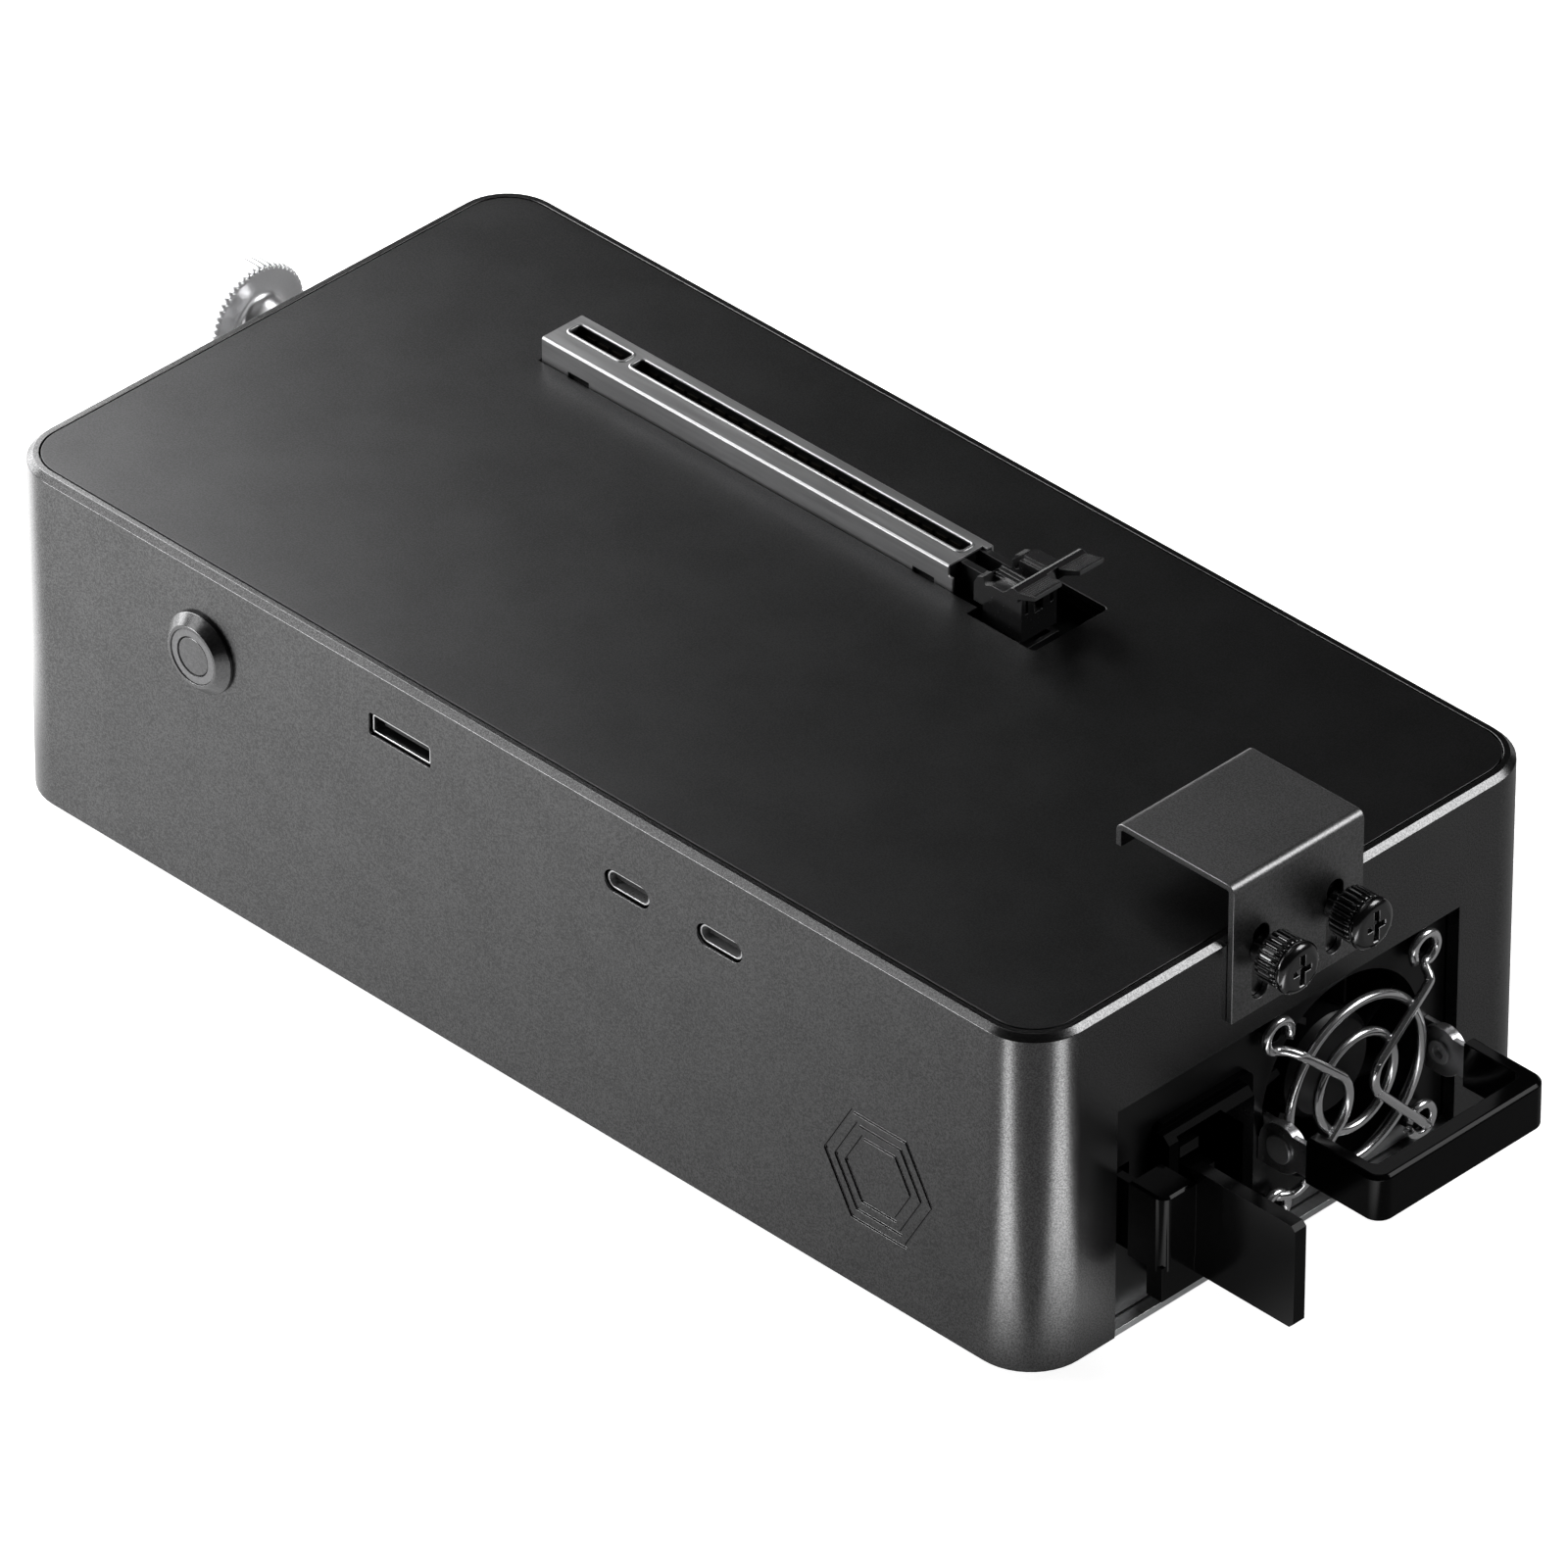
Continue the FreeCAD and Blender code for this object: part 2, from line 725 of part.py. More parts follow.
def make_top_panel():
    """The inset black panel with its stepped cut-out."""
    body = new_body("top_panel")
    inset = S.edge_chamfer + S.rim_width + S.panel_gap
    x, y = half_length - inset, half_width - inset
    pad(body, "sheet", "XY", panel_low, case_top, rounded(-x, -y, x, y, S.case_corner - inset))
    pocket(body, "cutout", "XY", panel_low, case_top, cutout_outline(0.0))
    corner_x = S.pit_start_x + S.pit_length
    soften(body, "Fillet", "pit_corners", S.pit_corner,
           lambda edge: along(edge, "z") and near(edge.CenterOfMass.x, corner_x))
    return node("top_panel", body)


def make_bottom_plate():
    """The plate that closes the case, with a tongue in the opening and countersunk holes."""
    body = new_body("bottom_plate")
    inset = S.wall + S.plate_gap
    x, y = half_length - inset, half_width - inset
    pad(body, "sheet", "XY", case_bottom, plate_top, rounded(-x, -y, x, y, S.case_corner - inset))
    tongue = bay_half - S.plate_gap
    pad(body, "tongue", "XY", case_bottom, plate_top,
        rectangle(x - S.case_corner, -tongue, half_length - S.plate_gap, tongue))
    holes = [octagon(px, py, S.screw_core + S.hole_gap * 2) for px, py in boss_places]
    pocket(body, "screw_holes", "XY", case_bottom, plate_top, *holes)
    soften(body, "Chamfer", "countersinks", S.sink_depth,
           lambda edge: flat_at(edge, "z", case_bottom) and edge.Length < S.screw_core + S.hole_gap * 2)
    return node("bottom_plate", body)


def make_bottom_screws():
    """Six countersunk screws, all alike."""
    made = []
    for number, (px, py) in enumerate(boss_places, start=1):
        screw = new_body("bottom_screw_%d" % number)
        neck = S.screw_core + S.hole_gap
        pad(screw, "head", "XY", case_bottom, case_bottom + S.sink_depth, octagon(px, py, neck + S.sink_depth))
        soften(screw, "Chamfer", "taper", S.sink_depth * 0.9,
               lambda edge: flat_at(edge, "z", case_bottom + S.sink_depth))
        pad(screw, "shank", "XY", case_bottom + S.sink_depth * 0.5, case_bottom + S.boss_height - 1,
            octagon(px, py, S.screw_core))
        made.append(screw)
    return node("bottom_screws", group("bottom_screws", *made))


def make_rubber_feet():
    """Four round feet under the plate."""
    made = []
    for side_x in (-1, 1):
        for side_y in (-1, 1):
            px = side_x * (half_length - S.foot_inset)
            py = side_y * (half_width - S.foot_inset)
            name = "foot_%d" % (len(made) + 1)
            toe = cone(name + "_toe", (px, py, 0.0), S.foot_radius - 0.5, S.foot_radius, 0.5)
            heel = rod(name + "_heel", (px, py, 0.5), S.foot_radius, S.foot_height - 0.5)
            made.append(fuse(name, toe, heel))
    return node("rubber_feet", group("rubber_feet", *made))


def make_psu_bay():
    """The folded tunnel that the power supply slides in, with a flange along each side."""
    body = new_body("psu_bay")
    inner, outer = bay_half, bay_half + S.bay_sheet
    edge = bay_edge
    fold = plate_top + S.bay_sheet
    outline = polygon((-edge, plate_top), (-inner, plate_top), (-inner, bay_top), (inner, bay_top),
                      (inner, plate_top), (edge, plate_top), (edge, fold), (outer, fold),
                      (outer, bay_roof), (-outer, bay_roof), (-outer, fold), (-edge, fold))
    pad(body, "tunnel", "YZ", bay_rear, inner_end - S.plate_gap, outline)
    return node("psu_bay", body)


MAIN_POSTS = ((-72.0, -30.0), (5.0, -30.0), (-72.0, 35.0), (14.0, 38.0))
SIDE_POSTS = ((24.0, -26.0), (50.0, -26.0))


def make_boards():
    """The slot board above the bay and the small port board below it, with posts and screws."""
    hole = S.screw_core + S.hole_gap
    body = new_body("main_board")
    pad(body, "sheet", "XY", board_low, board_top,
        rounded(S.main_board_start_x, board_front, S.main_board_end_x, S.main_board_back_y, 2.0))
    pocket(body, "holes", "XY", board_low, board_top, *[octagon(px, py, hole) for px, py in MAIN_POSTS])
    node("main_board", body)
    body = new_body("side_board")
    pad(body, "sheet", "XY", side_low, side_top,
        rounded(S.side_board_start_x, board_front, S.side_board_end_x, S.side_board_back_y, 1.5))
    pocket(body, "holes", "XY", side_low, side_top, *[octagon(px, py, hole) for px, py in SIDE_POSTS])
    node("side_board", body)
    posts = []
    screws = []
    for places, low, high in ((MAIN_POSTS, board_low, board_top), (SIDE_POSTS, side_low, side_top)):
        for px, py in places:
            number = len(posts) + 1
            post = stud("post_%d" % number, (px, py, bay_roof), S.post_radius, low - bay_roof, 6)
            bore = stud("post_bore_%d" % number, (px, py, bay_roof), S.screw_core + S.bore_gap, low - bay_roof)
            posts.append(cut("board_post_%d" % number, post, bore))
            reach = 0.5 * S.side_post
            shank = stud("board_shank_%d" % number, (px, py, low - reach), S.screw_core, high - low + reach)
            head = stud("board_head_%d" % number, (px, py, high), S.screw_head, S.screw_head_height)
            screws.append(fuse("board_screw_%d" % number, shank, head))
    node("board_standoffs", group("board_standoffs", *posts))
    node("board_screws", group("board_screws", *screws))


def make_slot_shield():
    """The pressed steel shield over the slot, with a short and a long window."""
    body = new_body("card_slot_shield")
    x0, x1, y0, y1 = S.slot_start_x, shield_end_x, shield_near_y, shield_far_y
    low = board_top
    sheet_t = S.shield_sheet
    pad(body, "block", "XY", low, shield_top, rectangle(x0, y0, x1, y1))
    pocket(body, "inside", "XY", low, shield_top - sheet_t,
           rectangle(x0 + sheet_t, y0 + sheet_t, x1, y1 - sheet_t))
    soften(body, "Fillet", "top_bends", sheet_t,
           lambda edge: flat_at(edge, "z", shield_top) and along(edge, "x"))
    half = S.window_width / 2
    radius = 0.5
    pocket(body, "end_step", "XY", shield_top - 2.0, shield_top,
           rectangle(x1 - 0.9, y0, x1, y1 - 1.5))
    pocket(body, "windows", "XY", shield_top - sheet_t, shield_top,
           rounded(window_a, S.slot_axis_y - half, window_b, S.slot_axis_y + half, radius),
           rounded(window_c, S.slot_axis_y - half, window_d, S.slot_axis_y + half, radius))
    notch = 4.6
    pocket(body, "side_notches", "XZ", y0, y0 + sheet_t,
           rectangle(x0 + 5.8, case_top - 1.0, x0 + 5.8 + notch, case_top + 0.6),
           rectangle(x1 - 8.5, case_top - 1.0, x1 - 8.5 + notch, case_top + 0.6))
    return node("card_slot_shield", body)


def make_slot_body():
    """The black slot moulding: card channel, contact bays, two end rails, and the latch's cradle."""
    body = new_body("card_slot_body")
    y = S.slot_axis_y
    gap = 0.1
    slip = S.shield_sheet + gap
    top = shield_top - S.shield_sheet - gap
    pad(body, "core", "XY", board_top, top,
        rectangle(S.slot_start_x + slip, shield_near_y + slip, shield_end_x - 1.2, shield_far_y - slip))
    rail = S.card_channel / 2 + 0.5
    rail_end = slot_end_x + 2.6
    pad(body, "end_rails", "XY", board_top, shield_top - S.shield_sheet - gap,
        rectangle(shield_end_x - 1.3, y - rail - 1.3, rail_end, y - rail),
        rectangle(shield_end_x - 1.3, y + rail, rail_end, y + rail + 1.3))
    pad(body, "tail", "XY", board_top, board_top + S.slot_floor + 4.0,
        rectangle(shield_end_x - 1.3, y - rail - 0.1, slot_end_x, y + rail + 0.1))
    pivot_z = board_top + S.latch_pivot_rise
    cradle_end = slot_end_x + 10.7
    half = S.cradle_half_width
    pad(body, "cradle", "XY", board_top, pivot_z, rectangle(slot_end_x - 1, y - half, cradle_end, y + half))
    pad(body, "ears", "XZ", y - half, y + half, circle(S.latch_pivot_x, pivot_z, 2.0))
    well = half - S.ear_thickness
    pocket(body, "cradle_well", "XY", board_top + 0.4, pivot_z + 2.2,
           rectangle(rail_end + 0.1, y - well, cradle_end - 0.8, y + well))
    pocket(body, "pivot_bore", "XZ", y - half, y + half,
           circle(S.latch_pivot_x, pivot_z, S.latch_pin + S.bore_gap))
    half = S.card_channel / 2
    floor = board_top + S.slot_floor
    pocket(body, "card_channel", "XY", floor, top, rectangle(window_a, y - half, window_b, y + half),
           rectangle(window_c, y - half, slot_end_x, y + half))
    half = S.contact_bay / 2
    pocket(body, "contact_bays", "XY", floor + 0.4, top,
           rectangle(window_a + 0.6, y - half, window_b - 0.6, y + half),
           rectangle(window_c + 0.6, y - half, window_d - 0.6, y + half))
    return node("card_slot_body", body)


def contact_comb(start, end, low, high, y, thickness):
    """A strip with springy fingers along the slot."""
    pitch, finger, strip = 3.0, 2.2, 0.9
    points = [(start, low), (end, low)]
    count = int((end - start) / pitch)
    for index in reversed(range(count)):
        left = start + index * pitch + (pitch - finger) / 2
        points += [(left + finger, low + strip), (left + finger, high), (left, high), (left, low + strip)]
    wire = Part.makePolygon([FreeCAD.Vector(x, y, z) for x, z in points + points[:1]])
    return Part.Face(wire).extrude(FreeCAD.Vector(0, thickness, 0))


def make_contacts():
    """Rows of contact fingers, one each side of the card, in the short and the long bay."""
    low = float(board_top + S.slot_floor + 0.45)
    high = float(shield_top - S.shield_sheet - 1.2)
    thickness = 0.35
    reach = float(S.contact_bay / 2) - 0.05
    rows = []
    for start, end in ((window_a, window_b), (window_c, window_d)):
        for y in (float(S.slot_axis_y) - reach, float(S.slot_axis_y) + reach - thickness):
            rows.append(contact_comb(float(start) + 0.7, float(end) - 0.7, low, high, y, thickness))
    return node("card_slot_contacts", shaped("card_slot_contacts", Part.makeCompound(rows)))


def make_card_latch():
    """The retaining latch: humped cheeks, tongue with pins, ribbed and plain ramps, crossbar and thumb pads."""
    body = new_body("card_latch")
    y = S.slot_axis_y
    half = S.latch_half_width
    x0 = slot_end_x + S.latch_gap
    x1 = x0 + S.latch_length
    pivot_x = S.latch_pivot_x
    pivot_z = board_top + S.latch_pivot_rise
    low = pivot_z + 2.3
    above = case_top + 0.4
    flat = shield_top + 0.6
    bar_low = shield_top + 2.2
    bar_top = bar_low + 2.15
    rear = x0 + 1.9
    pad(body, "cheeks", "XZ", y - half, y + half,
        polygon((rear, low), (x1, low), (x1, bar_low + 0.8), (x1 - 1.2, bar_low + 0.8), (x1 - 2.5, bar_low - 0.2),
                (x1 - 3.1, flat + 0.6), (x1 - 4.0, flat), (rear + 2.0, flat), (rear + 0.6, flat - 0.6),
                (rear, flat + 0.7), (x0 + 0.8, flat + 0.3), (x0, flat - 1.2), (x0, above), (rear, above)))
    pad(body, "crossbar", "XZ", y - S.latch_pad_half, y + S.latch_pad_half,
        polygon((x1 - 1.2, bar_low), (x1 + 1.2, bar_low), (x1 + 1.6, bar_low + 1.1), (x1 + 1.5, bar_top),
                (x1 + 0.4, bar_top + 0.2), (x1 - 0.2, bar_top - 0.05), (x1 - 0.9, bar_low + 1.2)))
    ribs = []
    rib_pitch = 0.52
    for index in range(6):
        start = x1 + 1.6 + index * rib_pitch
        level = bar_top + index * 0.12
        ribs += [(start, level - 0.25), (start + 0.12, level), (start + 0.34, level), (start + 0.46, level - 0.22)]
    tip = x1 + 1.6 + 6 * rib_pitch
    pad(body, "thumb_pads", "XZ", y - S.latch_pad_half, y + S.latch_pad_half,
        polygon((x1 + 0.8, bar_low + 0.5), (x1 + 0.8, bar_top - 0.1), *ribs, (tip, bar_top + 0.8),
                (tip + 0.3, bar_top + 0.8), (tip + 0.3, bar_top)))
    pocket(body, "pad_notch", "XY", bar_low, bar_top + 1.6,
           polygon((x1 + 1.2, y - 1.0), (tip + 0.6, y - 1.7), (tip + 0.6, y + 2.4), (x1 + 1.0, y + 1.4)))
    channel = S.card_channel / 2 + 0.25
    pocket(body, "card_gap", "XY", low, bar_top + 1, rectangle(x0, y - channel, x1 - 1.4, y + channel))
    room = S.card_channel / 2 + 2.1
    pocket(body, "rail_room_near", "XY", low, bar_top, rectangle(x0, y - room, rear, y - channel))
    pocket(body, "rail_room_far", "XY", low, bar_top, rectangle(x0, y + channel, rear, y + room))
    stairs = [(y - channel, flat - 1), (y - channel, flat + 1.3)]
    for step in range(3):
        edge = y - channel - 0.6 * step
        level = flat + 1.3 - 0.3 * step
        stairs += [(edge - 0.34, level), (edge - 0.4, level - 0.5), (edge - 0.54, level - 0.5)]
        if step < 2:
            stairs.append((edge - 0.6, level - 0.3))
    stairs.append((y - channel - 1.74, flat - 1))
    pad(body, "ribbed_ramp", "YZ", rear + 0.4, x1 - 1.6, polygon(*stairs))
    pad(body, "step_beside_gap", "XZ", y + channel, y + channel + 0.7,
        polygon((rear + 1.2, flat - 1), (x1 - 1.0, flat - 1), (x1 - 1.0, bar_low), (rear + 1.6, bar_low - 0.2)))
    pad(body, "plain_ramp", "XZ", y + channel + 0.65, y + half - 0.7,
        polygon((rear + 1.2, flat - 1), (x1 - 0.8, flat - 1), (x1 - 0.8, bar_low + 0.8), (rear + 2.0, bar_low + 0.6)))
    pocket(body, "end_recesses", "YZ", x1 - 1.0, x1,
           rectangle(y - half + 0.9, low + 4.8, y - half + 1.4, low + 7.2),
           rectangle(y - half + 2.8, low + 4.2, y - half + 4.7, bar_low - 0.6),
           rectangle(y - half + 6.2, low + 4.6, y - half + 6.9, bar_low - 0.6))
    pocket(body, "far_setback", "XY", low, flat + 0.6,
           rectangle(x1 - 2.6, y - half + 7.7, x1, y + half))
    clear = S.cradle_half_width - S.ear_thickness - 0.3
    pad(body, "tongue", "XZ", y - clear, y + clear,
        polygon((pivot_x - 1.7, pivot_z), (pivot_x + 1.7, pivot_z), (pivot_x + 1.7, low + 1),
                (pivot_x - 1.7, low + 1)))
    pad(body, "tongue_end", "XZ", y - clear, y + clear, circle(pivot_x, pivot_z, 1.7))
    pin = S.cradle_half_width - 0.1
    pad(body, "pins", "XZ", y - pin, y + pin, circle(pivot_x, pivot_z, S.latch_pin))
    return node("card_latch", body)


def make_button():
    """The lit power button: bevelled bezel with its nut, light ring, cap, switch and lead."""
    x, z = S.button_x, S.button_z
    axis = (x, front_face, z)
    bore = S.ring_outer + S.bore_gap
    body = new_body("button_bezel")
    bevel = S.button_proud - 0.6
    revolve(body, "turned", axis, "y",
            [(-S.button_proud, bore), (-S.button_proud, S.button_top), (-0.6, S.button_flange),
             (0.0, S.button_flange), (0.0, S.button_barrel), (S.barrel_length, S.button_barrel),
             (S.barrel_length, bore)])
    node("button_bezel", body)
    if float(bevel) <= 0:
        raise ValueError("the bezel has no bevel")
    hexagonal = new_body("button_nut")
    low = front_face + S.wall
    pad(hexagonal, "hexagon", "XZ", low, low + 2.5, hexagon(x, z, 7.6))
    pocket(hexagonal, "bore", "XZ", low, low + 2.5, circle(x, z, S.button_barrel + S.bore_gap))
    node("button_nut", hexagonal)
    back = front_face + 5.0
    ring = new_body("button_light_ring")
    pad(ring, "ring", "XZ", front_face - S.button_proud + 0.2, back - 0.05, circle(x, z, S.ring_outer),
        circle(x, z, S.button_cap + 0.1))
    node("button_light_ring", ring)
    cap = new_body("button_cap")
    face = front_face - S.button_proud + 0.3
    pad(cap, "cap", "XZ", face, face + 3.9, circle(x, z, S.button_cap))
    pad(cap, "stem", "XZ", face + 3.8, back - S.button_travel - 0.2, circle(x, z, 1.5))
    soften(cap, "Chamfer", "cap_edge", 0.2, lambda edge: flat_at(edge, "y", face))
    node("button_cap", cap)
    switch = new_body("switch_body")
    pad(switch, "can", "XZ", back, back + 7.0, circle(x, z, S.ring_outer))
    node("switch_body", switch)
    end = back + 7.0
    y0, z0 = float(end), float(z)
    bend = 2.5
    y1, z1 = y0 + 3.5, float(board_low)
    run = corner_points(FreeCAD.Vector(float(x), y0, z0), FreeCAD.Vector(float(x), y1, z0),
                        FreeCAD.Vector(float(x), y1, z1), bend, 4)
    node("button_lead", shaped("button_lead", wire_tube(run, 0.9, False)))





def joined(pieces):
    """Fuses overlapping or touching pieces into one clean solid."""
    whole = pieces[0].multiFuse(pieces[1:]).removeSplitter()
    return whole.Solids[0] if len(whole.Solids) == 1 else whole


def make_ports():
    """The link port under the slot board and two small round-ended ports on the port board."""
    wall = S.shell_wall
    mouth = front_face + S.port_recess
    x, half = S.link_x, S.link_width / 2
    back = mouth + 10.0
    body = new_body("link_port_shell")
    pad(body, "can", "XZ", mouth, back, rounded(x - half, board_low - S.link_height, x + half, board_low, 0.5))
    pocket(body, "inside", "XZ", mouth, back - wall,
           rounded(x - half + wall, board_low - S.link_height + wall, x + half - wall, board_low - wall, 0.3))
    node("link_port_shell", body)
    insert = new_body("link_port_tongue")
    pad(insert, "base", "XZ", back - wall - 3.0, back - wall,
        rectangle(x - half + 0.5, board_low - S.link_height + 0.5, x + half - 0.5, board_low - 0.5))
    pad(insert, "blade", "XZ", mouth + 1.2, back - 3.0,
        rectangle(x - half + 1.5, link_z - 0.45, x + half - 1.5, link_z + 0.45))
    node("link_port_tongue", insert)
    shells = []
    tongues = []
    low, top = side_top, side_top + S.round_port_height
    back = mouth + 7.4
    for number, px in enumerate((S.round_port_x1, S.round_port_x2), start=1):
        half = S.round_port_width / 2
        shell = new_body("round_port_shell_%d" % number)
        pad(shell, "can", "XZ", mouth, back, obround(px - half, low, px + half, top, False))
        pocket(shell, "inside", "XZ", mouth, back - wall,
               obround(px - half + wall, low + wall, px + half - wall, top - wall, False))
        shells.append(shell)
        tongue = new_body("round_port_tongue_%d" % number)
        pad(tongue, "base", "XZ", back - wall - 2.0, back - wall,
            obround(px - half + 0.5, low + 0.5, px + half - 0.5, top - 0.5, False))
        pad(tongue, "blade", "XZ", mouth + 0.9, back - 2.0,
            rectangle(px - half + 1.1, round_port_z - 0.35, px + half - 1.1, round_port_z + 0.35))
        tongues.append(tongue)
    node("front_port_shells", group("front_port_shells", *shells))
    node("front_port_tongues", group("front_port_tongues", *tongues))


def make_bracket():
    """The folded support bracket: top plate, lip, and a leg with two open slots for the thumb screws."""
    body = new_body("support_bracket")
    inner = end_face + S.bracket_play
    outer = inner + S.bracket_sheet
    top = case_top + S.bracket_rise
    edge = outer - S.bracket_reach
    t = S.bracket_sheet
    half = S.bracket_half_width
    pad(body, "folded_sheet", "XZ", -half, half,
        polygon((edge, top), (outer, top), (outer, top - S.bracket_leg), (inner, top - S.bracket_leg),
                (inner, top - t), (edge + t, top - t), (edge + t, top - S.bracket_lip),
                (edge, top - S.bracket_lip)))
    soften(body, "Fillet", "outer_bends", S.bracket_bend,
           lambda edge_: flat_at(edge_, "z", top) and along(edge_, "y"))
    soften(body, "Fillet", "inner_bends", S.bracket_bend - S.bracket_sheet,
           lambda edge_: flat_at(edge_, "z", top - t) and along(edge_, "y"))
    width = S.slot_width / 2
    pocket(body, "screw_slots", "YZ", inner, outer,
           obround(-S.slot_spread - width, S.slot_bottom_z, -S.slot_spread + width, S.slot_top_z, True),
           obround(S.slot_spread - width, S.slot_bottom_z, S.slot_spread + width, S.slot_top_z, True))
    return node("support_bracket", body)


def make_thumb_screw(name, y):
    """A knurled thumb screw with a collar, a rounded end and a crosswise recess for a driver."""
    z = S.thumb_z
    seat = end_face + S.bracket_play + S.bracket_sheet + S.bracket_play
    tip = inner_end + 0.2
    body = new_body(name + "_turned")
    knurl = seat + S.thumb_neck
    rim = knurl + S.thumb_knurl_length + 0.45
    top = rim + S.thumb_rim_length
    revolve(body, "turned", (tip, y, z), "x",
            [(0.0, 0.0), (0.0, S.thumb_shank), (seat - tip, S.thumb_shank),
             (seat - tip, S.thumb_collar), (knurl - tip, S.thumb_collar), (knurl - tip, S.thumb_knurl - 0.6),
             (rim - tip, S.thumb_knurl - 0.6), (rim - tip, S.thumb_rim), (top - tip - 0.8, S.thumb_rim),
             (top - tip - 0.2, S.thumb_rim - 0.7), (top - tip, S.thumb_rim - 1.6), (top - tip, 0.0)])
    pocket(body, "recess_upright", "YZ", top - 1.0, top, rectangle(y - 0.6, z - 2.8, y + 0.6, z + 2.8))
    pocket(body, "recess_level", "YZ", top - 1.0, top, rectangle(y - 2.2, z - 0.5, y + 2.2, z + 0.5))
    teeth = shaped(name + "_teeth", toothed_prism((knurl, y, z), S.thumb_knurl, S.knurl_depth, 22,
                                                  S.thumb_knurl_length))
    return node(name, fuse(name, body, teeth))


def make_inserts():
    """Threaded bushes in the two end walls."""
    made = []
    for number, y in enumerate((-S.slot_spread, S.slot_spread), start=1):
        bore = S.thumb_shank + S.bore_gap
        bush = rod("bush_%d" % number, (inner_end, y, S.thumb_z), bore + S.insert_wall, S.wall, "x")
        hole = rod("bush_bore_%d" % number, (inner_end, y, S.thumb_z), bore, S.wall, "x")
        made.append(cut("screw_insert_%d" % number, bush, hole))
    node("screw_inserts", group("screw_inserts", *made))
    bore = S.knob_stud + S.bore_gap
    bush = rod("knob_bush", (-end_face, S.knob_y, S.knob_z), bore + S.insert_wall, S.wall, "x")
    hole = rod("knob_bush_bore", (-end_face, S.knob_y, S.knob_z), bore, S.wall, "x")
    node("knob_insert", cut("knob_insert", bush, hole))


def make_end_knob():
    """The knurled clamping knob on a long collar with its stud in the far end wall."""
    y, z = S.knob_y, S.knob_z
    near_face = -end_face - S.knob_reach
    outside = near_face - S.knob_thickness
    c = S.knob_chamfer
    collar_end = -end_face - 0.3
    stud_end = -inner_end - 0.2
    turned = new_body("knob_turned")
    blank = S.knob_radius - S.knurl_depth
    revolve(turned, "turned", (outside, y, z), "x",
            [(0.0, 0.0), (0.0, blank - c), (c, blank), (S.knob_thickness - c, blank),
             (S.knob_thickness, blank - c), (S.knob_thickness, 5.4), (S.knob_thickness + 1.0, S.knob_collar),
             (collar_end - outside, S.knob_collar), (collar_end - outside, S.knob_stud),
             (stud_end - outside, S.knob_stud), (stud_end - outside, 0.0)])
    teeth = shaped("knob_teeth", toothed_prism((outside + c, y, z), S.knob_radius, S.knurl_depth + 0.1, 44,
                                               S.knob_thickness - 2 * c))
    return node("end_knob", fuse("end_knob", turned, teeth))


def make_psu_case():
    """The power supply's folded steel case with its face openings and the latch's notch, window and pin lugs."""
    body = new_body("psu_case")
    t = S.psu_skin
    inner = psu_half - t
    pad(body, "block", "XY", psu_low, psu_top, rectangle(psu_rear, -psu_half, psu_face, psu_half))
    pocket(body, "inside", "XZ", -inner, inner,
           rectangle(psu_rear + t, psu_low + t, psu_face - t, psu_top - t))
    pocket(body, "fan_opening", "YZ", psu_face - t, psu_face, circle(fan_y, psu_middle_z, fan_duct))
    edge = S.inlet_z - S.inlet_tall / 2 + 0.5
    pocket(body, "inlet_opening", "YZ", psu_face - t, psu_face,
           rectangle(inlet_low_y + 0.5, edge, inlet_high_y - 0.5, edge + S.inlet_tall - 1.0))
    low, top = S.release_block_z - 0.4, S.release_block_z + S.release_block_tall - 0.4
    pocket(body, "latch_notch", "YZ", psu_face - t, psu_face,
           rectangle(-inner + 0.15, low, -inner + 3.9, top))
    pocket(body, "latch_window", "XZ", -psu_half, -inner,
           rectangle(S.release_pivot_x + 2.5, low + 2.5, S.release_pivot_x + 8.5, top - 3.0))
    pocket(body, "rear_slot", "YZ", psu_rear, psu_rear + t, rectangle(-21.0, psu_low + 4.0, 21.0, psu_low + 6.6))
    rise = S.psu_board_rise
    corners = [(fan_y + a * fan_corner, psu_middle_z + b * fan_corner) for a in (-1, 1) for b in (-1, 1)]
    pad(body, "guard_bosses", "YZ", psu_face, psu_face + S.fan_boss, *[octagon(a, b, 2.4) for a, b in corners])
    pocket(body, "guard_bores", "YZ", psu_face - t, psu_face + S.fan_boss, *[octagon(a, b, 1.5) for a, b in corners])
    lug_high = lug_spans()[0][3]
    pivot_z = S.handle_pivot_z
    pad(body, "lug_seat", "YZ", psu_face - t, psu_face,
        rectangle(fan_y - fan_duct - 1.0, pivot_z - 3.6, lug_high, pivot_z + 3.6))
    posts = [octagon(px, py, 3.0) for px, py in PSU_POSTS]
    pad(body, "board_posts", "XY", psu_low + t, psu_low + t + rise, *posts)
    bores = [octagon(px, py, S.screw_core + S.bore_gap) for px, py in PSU_POSTS]
    pocket(body, "post_bores", "XY", psu_low + t + rise - 2.5, psu_low + t + rise, *bores)
    px, py = S.release_pivot_x, release_pivot_y
    for number, level in enumerate((low - 0.8, top + 0.1), start=1):
        pad(body, "pin_lug_%d" % number, "XY", level, level + 0.9,
            rectangle(px - 2.0, -inner, px + 2.0, py + 2.0))
        pocket(body, "pin_bore_%d" % number, "XY", level, level + 0.9, circle(px, py, 0.8 + S.bore_gap))
    return node("psu_case", body)


PSU_POSTS = [(px, py) for px in (psu_rear + 9.8, psu_face - 39.2) for py in (7.75 - psu_half, psu_half - 7.75)]


